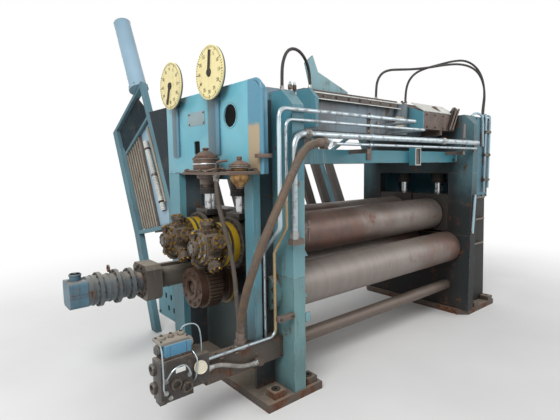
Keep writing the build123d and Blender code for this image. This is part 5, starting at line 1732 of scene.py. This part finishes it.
@dataclass
class Accumulators:
    """The two domed accumulators, their pipes along the shelf and the bowl under the small one."""

    large: Rect = (-1.768, -0.215, 0.096, 0.180)
    small: Rect = (-1.738, -0.610, 0.070, 0.106)
    floor: float = 1.712
    shelf_low: float = 1.696
    pipe: float = 0.0085

    def bell(self, piece: Piece, spot: Rect, profile: Sequence[tuple[float, float, Look]]) -> None:
        """Turn one accumulator's rings.

        Args:
            piece: The piece that takes the shapes.
            spot: Its axis, radius and height.
            profile: Each ring's radius, top and look, as shares of the size, from the shelf up.
        """
        x, y, r, h = spot
        foot = aim((x, y, self.floor), Way.UP)
        low = 0.0
        for wide, top, look in profile:
            disc = Shape.turned(ring(0, wide * r, low * h, top * h), 48)
            piece.add(disc.soften(0.0025, 2, 50).put(foot), look)
            low = top
        dome = ((0.93, 0.0), (0.92, 0.05), (0.80, 0.13), (0.58, 0.22), (0.36, 0.29))
        neck = ((0.20, 0.32), (0.18, 0.34), (0.26, 0.36))
        line = [(0, low), *((a, low + b) for a, b in dome + neck), (0.26, 0.97), (0.18, 1.0), (0, 1.0)]
        piece.add(Shape.turned([(a * r, b * h) for a, b in line], 40).put(foot), Look.ACC_DOME)
        piece.bolt_circle(0.0055, 12, r * 0.97, (x, y, self.floor + low * h), Way.UP)

    def pipes(self, piece: Piece) -> None:
        """Run the small brown pipes and their unions along the shelf."""
        first = [(-1.876, -0.085, 1.722), (-1.876, -0.38, 1.722), (-1.876, -0.43, 1.722)]
        first += [(-1.840, -0.47, 1.735), (-1.800, -0.52, 1.735)]
        second = [(-1.700, -0.320, 1.726), (-1.680, -0.40, 1.726), (-1.680, -0.50, 1.726)]
        second += [(-1.700, -0.55, 1.726)]
        third = [(-1.650, -0.100, 1.722), (-1.650, -0.300, 1.722), (-1.650, -0.690, 1.722)]
        fourth = [(-1.856, -0.500, 1.712), (-1.856, -0.500, 1.760), (-1.856, -0.530, 1.790)]
        fourth += [(-1.800, -0.560, 1.790)]
        for line in (first, second, third, fourth):
            piece.add(Shape.pipe(line, self.pipe), Look.RUSTY_SHELF)
        unions = ((-1.876, -0.12, 1.722), (-1.876, -0.33, 1.722), (-1.680, -0.45, 1.726))
        unions += ((-1.650, -0.66, 1.722), (-1.650, -0.25, 1.722))
        for x, y, z in unions:
            start, end = (x, y - 0.018, z), (x, y + 0.018, z)
            piece.rod(start, end, 0.016, Look.DARK_BOLT, sides=6, soften=0.0015)
        for y in (-0.10, -0.405, -0.690):
            piece.block((-1.888, y - 0.012, 1.711), (-1.640, y + 0.012, 1.719), Look.SHAFT, 0.002, 1)
        low, high = (-1.856, -0.500, 1.711), (-1.856, -0.500, 1.735)
        piece.rod(low, high, 0.024, Look.DARK_BOLT, sides=6, soften=0.002)

    def hang(self, piece: Piece, spot: Rect, profile: Sequence[Corner], look: Look) -> None:
        """Turn the part that hangs under the shelf from shares of the radius and depths."""
        x, y, r, _ = spot
        piece.turned([(a * r, b) for a, b in profile], look, (x, y, self.shelf_low), Way.UP)

    def build(self) -> None:
        """Build both, in place of the plain node."""
        piece = Piece("dressed_accumulators", "frame", "accumulator_brass")
        brown, bright, gold, rusty = Look.SHAFT, Look.CHROME, Look.ACC_BOWL, Look.RUSTY_SHELF
        rings = [(0.93, 0.10, brown), (1.0, 0.30, rusty), (1.06, 0.36, bright)]
        self.bell(piece, self.large, [*rings, (1.0, 0.50, rusty), (1.07, 0.56, brown)])
        rings = [(0.62, 0.10, gold), (0.80, 0.24, gold), (1.08, 0.32, brown)]
        self.bell(piece, self.small, [*rings, (1.02, 0.36, bright), (1.08, 0.44, brown)])
        self.pipes(piece)
        bowl = [(0.30, 0.0), (0.98, 0.0), (1.0, -0.010), (0.94, -0.030), (0.74, -0.056)]
        bowl += [(0.46, -0.076), (0.40, -0.084), (0.30, -0.084)]
        self.hang(piece, self.small, bowl, gold)
        under = [(0.20, 0.0), (0.74, 0.0), (0.74, -0.026), (0.52, -0.040), (0.52, -0.074), (0.20, -0.074)]
        self.hang(piece, self.large, under, brown)
        piece.done("accumulators")


@dataclass
class FootHydraulics:
    """The manifold with its valve, ports, gauge and pipe loops, and the channel's clamps."""

    left: float = -2.402
    right: float = -2.060
    waist: float = -2.185
    front: float = -0.700
    back: float = -0.585
    flange_back: float = -0.515
    low: float = 0.330
    high: float = 0.592
    pipe: float = 0.0046

    def block(self, piece: Piece) -> None:
        """Make the drilled block with its flange on the channel's end."""
        y, left, waist, low, high = self.front, self.left, self.waist, self.low, self.high
        piece.block((left, y, low), (waist, self.back, high), Look.CASTING, 0.006)
        flange = (self.right, self.flange_back, high - 0.030)
        piece.block((waist - 0.004, y + 0.012, low + 0.030), flange, Look.CASTING, 0.006)
        foot = (left + 0.050, self.back - 0.02, low + 0.002)
        piece.block((left + 0.004, y + 0.03, low - 0.022), foot, Look.CASTING, 0.004)
        port = [(0.020, 0.0), (0.038, 0.0), (0.038, 0.010), (0.034, 0.016), (0.024, 0.016)]
        port += [(0.022, 0.004), (0.020, 0.004)]
        for x, z in ((-2.304, 0.434), (-2.232, 0.394)):
            piece.turned(port, Look.DARK_BOLT, (x, y, z), Way.FRONT, 32)
            piece.rod((x, y - 0.002, z), (x, y + 0.002, z), 0.022, Look.CASTING, sides=24)
        for z in (0.400, 0.520):
            piece.turned(port, Look.CASTING, (left, -0.60, z), Way.LEFT, 28)
        piece.block((-2.302, y - 0.002, 0.500), (-2.236, y + 0.001, 0.530), Look.WHITE_PLATE, 0.001, 1)
        for x, z in ((-2.372, 0.400), (-2.372, 0.475), (-2.215, 0.470), (-2.345, 0.362)):
            piece.nut((x, y, z), Way.FRONT, (0, 0.014, 0.016, 0.002), Look.ZINC, 10)
        inset = 0.018
        screws = [(x, y, z) for x in (left + inset, waist - inset) for z in (low + inset, high - inset)]
        piece.add(socket_bolt(0.010), Look.DARK_BOLT, [aim(spot, Way.FRONT) for spot in screws])

    def gauge(self, piece: Piece) -> None:
        """Make the round cream gauge beside the block."""
        spot, way = (-2.130, self.front + 0.012, 0.490), (-0.35, -1, 0.1)
        piece.turned(ring(0, 0.014, -0.03, 0.012), Look.ZINC, spot, way, 20)
        case = [(0, 0.012), (0.040, 0.012), (0.042, 0.018), (0.042, 0.036)]
        case += [(0.038, 0.040), (0.034, 0.037), (0, 0.037)]
        piece.turned(case, Look.BEIGE, spot, way)

    def valve(self, piece: Piece) -> None:
        """Make the blue valve on the block, with its caps and grey cover."""
        z, grey = self.high, Look.COVER_GREY
        piece.block((-2.372, -0.688, z - 0.001), (-2.180, -0.540, z + 0.018), Look.DARK_BOLT, 0.003)
        piece.block((-2.362, -0.692, z + 0.017), (-2.186, -0.566, z + 0.092), Look.VALVE_BLUE, 0.006)
        for x in (-2.330, -2.220):
            piece.block((x - 0.0015, -0.6935, z + 0.022), (x + 0.0015, -0.690, z + 0.088), Look.CASTING)
        piece.block((-2.385, -0.676, z + 0.090), (-2.190, -0.556, z + 0.112), grey, 0.004)
        y, seat = -0.62, z + 0.132
        for x, wide in ((-2.352, 0.026), (-2.290, 0.018), (-2.222, 0.024)):
            more = {"tip": wide * 0.9, "sides": 20, "soften": 0.003}
            piece.rod((x, y, z + 0.110), (x, y, seat), wide, grey, **more)
            piece.bolts(0.008, [(x, y, seat)], Way.UP, 13)
        cap = [(0, 0), (0.034, 0), (0.034, 0.024), (0.026, 0.034), (0, 0.036)]
        for x, way, look in ((-2.362, Way.LEFT, Look.CASTING), (-2.186, Way.RIGHT, grey)):
            piece.turned(cap, look, (x, -0.626, z + 0.054), way, 28)
        for y in (-0.668, -0.586):
            screws = [aim((x, y, z + 0.112), Way.UP) for x in (-2.374, -2.204)]
            piece.add(socket_bolt(0.007), Look.DARK_BOLT, screws)

    def loops(self, piece: Piece) -> None:
        """Bend the small silver pipes round the block."""
        y, z = self.front, self.high
        left = [(-2.385, y + 0.02, z + 0.10), (-2.398, y - 0.030, z + 0.10), (-2.398, y - 0.040, 0.50)]
        left += [(-2.398, y - 0.03, 0.42), (-2.372, y - 0.012, 0.400)]
        front = [(-2.215, y - 0.010, 0.470), (-2.215, y - 0.045, 0.47), (-2.250, y - 0.045, 0.565)]
        front += [(-2.330, y - 0.045, 0.560), (-2.372, y - 0.04, 0.51), (-2.372, y - 0.012, 0.475)]
        top = [(-2.222, -0.62, z + 0.125), (-2.222, -0.62, z + 0.165), (-2.120, -0.64, z + 0.170)]
        top += [(-2.092, -0.65, z + 0.08), (-2.098, -0.65, z - 0.05)]
        right = [(-2.175, y + 0.03, 0.600), (-2.160, y - 0.015, 0.570), (-2.168, y - 0.02, 0.50)]
        right += [(-2.178, y - 0.02, 0.430), (-2.175, y + 0.03, 0.40)]
        for route in (left, front, top, right):
            piece.add(Shape.pipe(route, self.pipe), Look.PIPE)
        for x, _, height in (left[-1], front[0], front[-1]):
            piece.nut((x, y - 0.002, height), Way.FRONT, (0, 0.018, 0.012, 0.001), Look.ZINC)

    def clamps(self) -> None:
        """Build the channel's clamps and screws."""
        channel = Piece("channel_fittings", "frame", "dark_steel")
        for x in (-1.95, -1.83):
            channel.block((x - 0.014, -0.666, 0.470), (x + 0.014, -0.560, 0.474), Look.CHANNEL, 0.001, 1)
            channel.bolts(0.008, [(x, -0.585, 0.474)], Way.UP)
        for x in (-2.045, -1.41):
            channel.bolts(0.010, [(x, -0.630, z) for z in (0.325, 0.450)], Way.FRONT)
        collar = [(0, 0), (0.042, 0), (0.042, 0.014), (0.034, 0.020), (0, 0.020)]
        channel.turned(collar, Look.ZINC, (-1.756, -0.6, 0.470), Way.UP, 32)
        channel.done()

    def build(self) -> None:
        """Build the manifold in place of the plain node, and the channel's clamps."""
        piece = Piece("dressed_manifold", "frame", "dark_steel")
        self.block(piece)
        self.valve(piece)
        self.gauge(piece)
        self.loops(piece)
        piece.done("hydraulic_manifold")
        self.clamps()


@dataclass
class Pipework:
    """Clamp saddles and nuts of the silver tubes."""

    clamps: tuple[float, ...] = (-0.551, 1.050)
    clamp_face: float = -0.7705
    tubes: tuple[Point, ...] = (
        (-0.785, 2.138, 0.015),
        (-0.782, 2.068, 0.012),
        (-0.794, 1.972, 0.024),
        (-0.782, 1.912, 0.012),
    )
    bent_tubes: int = 2

    def saddle(self, piece: Piece, x: float, tube: Point) -> None:
        """Put a saddle and its two bolts on a tube.

        Args:
            piece: The piece that takes them.
            x: The clamp's place along the beam.
            tube: The tube's depth, height and radius.
        """
        y, z, r = tube
        piece.turned(ring(r, r + 0.004, -0.016, 0.016), Look.PIPE, (x, y, z), Way.RIGHT, 28)
        for side in (-1, 1):
            piece.bolts(0.007, [(x, self.clamp_face, z + side * (r + 0.012))], Way.FRONT)

    def build(self) -> None:
        """Build the saddles and nuts; the right clamp misses the tubes that bend back before it."""
        piece = Piece("pipe_clamp_saddles", "frame", "silver_pipe")
        left, right = self.clamps
        for x, tubes in ((left, self.tubes), (right, self.tubes[self.bent_tubes :])):
            for tube in tubes:
                self.saddle(piece, x, tube)
        main, thin = self.tubes[2:]
        for x, (y, z, r) in ((-1.30, main), (0.55, main), (-1.02, thin)):
            piece.rod((x, y, z), (x + 0.05, y, z), r * 1.45, Look.ZINC, sides=6)
        for x, (_, z, r) in zip((0.130, 0.290), self.tubes):
            piece.rod((x, -0.345, z), (x, -0.331, z), r * 1.7, Look.ZINC, sides=6)
        piece.rod((-1.404, -0.794, 1.232), (-1.404, -0.794, 1.290), 0.034, Look.ZINC, sides=6)
        piece.done()


# Girder, guard and idle end


@dataclass
class Girder:
    """The girder's stub plate, strut, bracket, weld lines and bolts, and white strips that paint its
    highlights.
    """

    post: float = 1.270
    rim_middle: Corner = (0.382, 1.8225)
    rim_half: Corner = (0.0435, 0.081)
    rim_y: float = -0.6405
    cover: Corner = (0.602, 1.228)
    slope: Rect = (-0.563, 2.289, -0.402, 2.391)

    def strut(self, piece: Piece) -> None:
        """Make the dark bracket and its arms right of the cover."""
        y = -0.575
        corners = ((1.085, 2.120), (1.135, 2.120), (1.262, 2.345), (1.205, 2.375), (1.150, 2.330))
        bracket = Shape.slab([(x, y, z) for x, z in corners], (0, 0.03, 0), 0.003)
        piece.add(bracket, Look.IRON)
        for shift in (0.0, 0.055):
            low, high = (1.075 + shift, -0.590, 2.115), (1.205 + shift, -0.590, 2.355)
            piece.rod(low, high, 0.011, Look.SHAFT, sides=12, soften=0.002)
        piece.bolts(0.012, [(x, y - 0.0005, z) for x, z in ((1.180, 2.330), (1.118, 2.160))], Way.FRONT)

    def front(self, piece: Piece) -> None:
        """Dress the beam's front: the stub plate, the bolts and the weld lines at the posts."""
        corners = ((-0.337, 1.790), (-0.279, 1.790), (-0.279, 1.924), (-0.337, 1.924))
        stub = [(x, -0.583, z) for x, z in corners]
        piece.add(Shape.slab(stub, (0, 0.012, 0), 0.001), Look.SHAFT)
        piece.block((-0.337, -0.575, 1.790), (-0.279, -0.569, 1.880), Look.SHAFT, 0.001, 1)
        for x in (-1.20, 1.20):
            for z in (1.79, 1.855):
                piece.bolts(0.014, [(x, -0.5705, z)], Way.FRONT, 20)
        for y in (-0.572, -0.448, 0.448, 0.572):
            for x in (-self.post, self.post):
                piece.rod((x, y, 1.765), (x, y, 1.880), 0.007, Look.BEAM, sides=8)

    def cross_tube(self, piece: Piece) -> None:
        """Close the cross tube and put the pale rim on its end."""
        piece.block((0.3455, -0.632, 1.748), (0.4185, -0.628, 1.897), Look.SHAFT)
        (x, z), (wide, tall) = self.rim_middle, self.rim_half
        corners = ((-wide, -tall), (wide, -tall), (wide, tall), (-wide, tall))
        for (a, b), (c, d) in zip(corners, corners[1:] + corners[:1]):
            start, end = (x + a, self.rim_y, z + b), (x + c, self.rim_y, z + d)
            piece.rod(start, end, 0.0045, Look.WHITE_PLATE, sides=8)

    def build(self) -> None:
        """Build the girder's dressing."""
        white = Look.WHITE_PLATE
        piece = Piece("girder_fittings", "frame", "turquoise_paint")
        self.front(piece)
        lip = [aim((-0.85 + 0.16 * n, -0.391, 2.345), Way.FRONT, 7 * n) for n in range(8)]
        piece.add(hex_bolt(0.009), Look.DARK_BOLT, lip)
        # Two white lines along the lip: painted highlights on its edges.
        for z, wide in ((2.3695, 0.005), (2.3185, 0.004)):
            piece.block((-0.920, -0.3945, z - wide), (0.560, -0.389, z + wide), white, 0.001, 1)
        piece.bolt_circle(0.012, 6, 0.066, (0.500, -0.330, 2.391), Way.UP)
        for z in (2.135, 2.26):
            piece.bolts(0.008, [(x, -0.5605, z) for x in (0.66, 0.82, 0.98)], Way.FRONT)
        piece.block((0.318, -0.4195, 2.115), (0.455, -0.4175, 2.235), Look.DUSTY_TAN, 0.001, 1)
        # Two white rods: painted highlight on a plate's lit front edge.
        for x in (-0.925, -0.965):
            piece.rod((x, -0.333, 2.062), (x, -0.333, 2.36), 0.006, white, sides=8)
        self.cross_tube(piece)
        # The white slab on the cover's slope: painted highlight on its lit top face.
        (x0, x1), (y0, z0, y1, z1) = self.cover, self.slope
        slope = [(x0, y0, z0), (x1, y0, z0), (x1, y1, z1), (x0, y1, z1)]
        piece.add(Shape.slab(slope, (0, -0.0042, 0.0068)), white)
        self.strut(piece)
        piece.done()


@dataclass
class Guard:
    """The guard's slat bolts, the fine grille in its side, the spiral conduit and the tube's collar."""

    rail_low: Corner = (1.220, 1.117)
    rail_high: Corner = (1.748, 2.347)
    bars: int = 10
    pitch: float = 0.300
    side: float = -1.600
    wires: int = 15
    coils: int = 46
    conduit_x: float = -1.622
    tube_foot: Point = (-1.600, 1.418, 2.563)
    tube_lean: float = 26.9

    def sheet(self, piece: Piece, corners: Sequence[Corner], look: Look) -> None:
        """Put a thin sheet behind the grille."""
        back = self.side + 0.006
        piece.add(Shape.slab([(back, y, z) for y, z in corners], (0.004, 0, 0)), look)

    def grille(self, piece: Piece) -> None:
        """Fill the near side frame with fine wires along its slope, and close it with two sheets, the corner
        one near-black as painted shade.

        Args:
            piece: The piece that takes the shapes.
        """
        low = (Vector((self.side, 1.020, 1.110)), Vector((self.side, 1.490, 1.090)))
        high = (Vector((self.side, 1.440, 2.120)), Vector((self.side, 1.870, 1.910)))
        for index in range(self.wires):
            share = (index + 0.5) / self.wires
            start, end = low[0].lerp(low[1], share), high[0].lerp(high[1], share)
            if index % 2:
                start.x -= 0.010
                end.x -= 0.010
                piece.rod(start, end, 0.0095, Look.GRILLE_PALE, sides=8)
            else:
                piece.rod(start, end, 0.0135, Look.GRILLE_DARK, sides=8)
        near = ((0.760, 1.140), (1.040, 1.110), (1.450, 2.115), (1.190, 2.250))
        self.sheet(piece, near, Look.GUARD_TUBE)
        # The corner sheet is near-black: it paints the shade in the guard's corner.
        corner = ((1.170, 2.290), (1.890, 1.915), (2.140, 2.140), (1.500, 2.500))
        self.sheet(piece, corner, Look.DIM_SLATE)

    def conduit(self, piece: Piece) -> None:
        """Make the spiral conduit along the frame's front rail."""
        x = self.conduit_x
        start, end = Vector((x, 0.880, 1.330)), Vector((x, 1.262, 2.020))
        line = end - start
        coil = Shape.turned([(0.019, -0.0085), (0.0265, -0.004), (0.0265, 0.004), (0.019, 0.0085)], 16)
        rings = [aim(start + line * ((i + 0.5) / self.coils), line) for i in range(self.coils)]
        piece.add(coil, Look.WHITE_PLATE, rings)
        piece.rod(start, end, 0.020, Look.GREY_BLUE, sides=16)
        piece.rod((x, 0.835, 1.420), (x, 1.190, 2.160), 0.013, Look.GRILLE_PALE, sides=12)
        for share in (0.12, 0.5, 0.88):
            spot = start + line * share
            piece.turned(ring(0.026, 0.030, -0.010, 0.010), Look.DARK_BOLT, spot, line, 20)
            low, high = spot + Vector((0.010, -0.012, -0.012)), spot + Vector((0.035, 0.012, 0.012))
            piece.block(low, high, Look.DARK_BOLT)

    def slat_bolts(self, piece: Piece) -> None:
        """Put two bolts on each end of each slat."""
        low, high = Vector((0, *self.rail_low)), Vector((0, *self.rail_high))
        along = (high - low).normalized()
        front = Vector((0, -along.z, along.y))
        places = []
        for index in range(self.bars):
            x = (index - (self.bars - 1) / 2) * self.pitch
            for end, sign in ((low, 1), (high, -1)):
                for step in (0.05, 0.10):
                    spot = end + along * sign * step + front * 0.030 + Vector((x, 0, 0))
                    places.append(aim(spot, front, 13 * index))
        piece.add(hex_bolt(0.013), Look.DARK_BOLT, places)

    def build(self) -> None:
        """Build the guard's dressing."""
        piece = Piece("guard_fittings", "frame", "guard_brown")
        self.slat_bolts(piece)
        self.grille(piece)
        self.conduit(piece)
        lean, foot = math.radians(self.tube_lean), Vector(self.tube_foot)
        axis = Vector((0, math.sin(lean), math.cos(lean)))
        piece.bolt_circle(0.008, 8, 0.094, foot + axis * 0.024, axis)
        piece.turned(ring(0.080, 0.0895, 0.0, 0.003), Look.GUARD_TUBE, foot + axis * 0.857, axis, 48)
        piece.done()


@dataclass
class IdleHousing:
    """The idle end's slanted bar, pipe unions, door bolts and weld seams."""

    front: float = -0.630
    bar_y: float = -0.776
    bar_ends: tuple[Corner, Corner] = ((1.325, 1.400), (1.290, 0.965))
    unions: tuple[Corner, ...] = ((1.825, -0.602), (1.900, -0.555), (1.560, -0.600))
    pipe: float = 0.013

    def slanted_bar(self, piece: Piece) -> None:
        """Make the pale bar beside the rungs, with its two lugs."""
        (x0, z0), (x1, z1) = self.bar_ends
        y = self.bar_y
        piece.rod((x0, y, z0), (x1, y, z1), 0.014, Look.PALE_PIPE, sides=14, soften=0.002)
        for z, x in ((1.385, 1.324), (0.980, 1.291)):
            low, high = (x - 0.022, y - 0.002, z - 0.014), (x + 0.022, y + 0.018, z + 0.014)
            piece.block(low, high, Look.DARK_BOLT, 0.003)

    def casing(self, piece: Piece) -> None:
        """Put bolts and a weld seam on the upper casing, and caps on the lower bearings."""
        y = self.front
        edge = [(x, 1.362) for x in (1.43, 1.55, 1.67, 1.79, 1.89)]
        edge += [(x, 2.272) for x in (1.43, 1.60, 1.77, 1.91)]
        rows = [aim((x, y - 0.0005, z), Way.FRONT, 9 * i) for i, (x, z) in enumerate(edge)]
        piece.add(hex_bolt(0.009), Look.DARK_BOLT, rows)
        piece.rod((1.391, y, 1.35), (1.928, y, 1.35), 0.006, Look.IDLE_CASING, sides=8)
        side = [(1.9305, y, z) for y in (-0.59, -0.2, 0.2, 0.59) for z in (1.40, 1.82, 2.25)]
        piece.bolts(0.011, side, Way.RIGHT)
        cap = [(0, 0), (0.052, 0), (0.046, 0.006), (0, 0.006)]
        for y in LOWER_ROWS:
            piece.turned(cap, Look.SHAFT, (1.20, y, LOWER_AXIS), Way.RIGHT, 28)

    def pipes(self, piece: Piece) -> None:
        """Run the three pale pipes down from the hoses, with their unions and clamps."""
        first = [(1.825, -0.602, 2.290), (1.825, -0.602, 2.325), (1.820, -0.640, 2.330)]
        first += [(1.808, -0.648, 2.280), (1.800, -0.650, 2.10), (1.800, -0.650, 1.40)]
        second = [(1.900, -0.555, 2.290), (1.900, -0.575, 2.320), (1.900, -0.645, 2.320)]
        second += [(1.895, -0.655, 2.270), (1.890, -0.655, 2.05), (1.890, -0.655, 1.45)]
        third = [(1.560, -0.600, 2.290), (1.560, -0.605, 2.330), (1.680, -0.640, 2.330)]
        third += [(1.725, -0.650, 2.26), (1.725, -0.650, 2.02), (1.740, -0.650, 1.95)]
        for route in (first, second, third):
            piece.add(Shape.pipe(route, self.pipe), Look.PALE_PIPE)
        for x, y in self.unions:
            piece.rod((x, y, 2.286), (x, y, 2.312), 0.026, Look.PIPE, sides=6, soften=0.002)
        for z in (1.55, 1.85, 2.12):
            piece.block((1.775, -0.668, z - 0.014), (1.915, -0.629, z + 0.014), Look.DARK_BOLT, 0.003)

    def build(self) -> None:
        """Build the idle end's dressing."""
        piece = Piece("idle_housing_fittings", "frame", "worn_paint")
        self.slanted_bar(piece)
        self.casing(piece)
        self.pipes(piece)
        piece.done()


class Machine:
    """The dressed machine, from the hoses to the idle end."""

    def __init__(self) -> None:
        """List the sub-assemblies in the order in which they are built."""
        self.parts = (
            HoseSet(),
            NodeLooks(),
            OuterPanel(),
            DrivenHousing(),
            RollDrives(),
            MiddleCoupling(),
            RearDrive(),
            Dial("large_dial_face", -0.200),
            Dial("small_dial_face", 0.455),
            Accumulators(),
            FootHydraulics(),
            Pipework(),
            Girder(),
            Guard(),
            IdleHousing(),
        )

    def build(self) -> None:
        """Build every sub-assembly."""
        for part in self.parts:
            log.info("building %s", type(part).__name__)
            part.build()


def main() -> None:
    """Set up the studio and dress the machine."""
    logging.basicConfig(level=logging.INFO, format="%(name)s: %(message)s")
    Studio().build()
    Machine().build()
    bpy.context.view_layer.update()


if __name__ == "__main__":
    main()
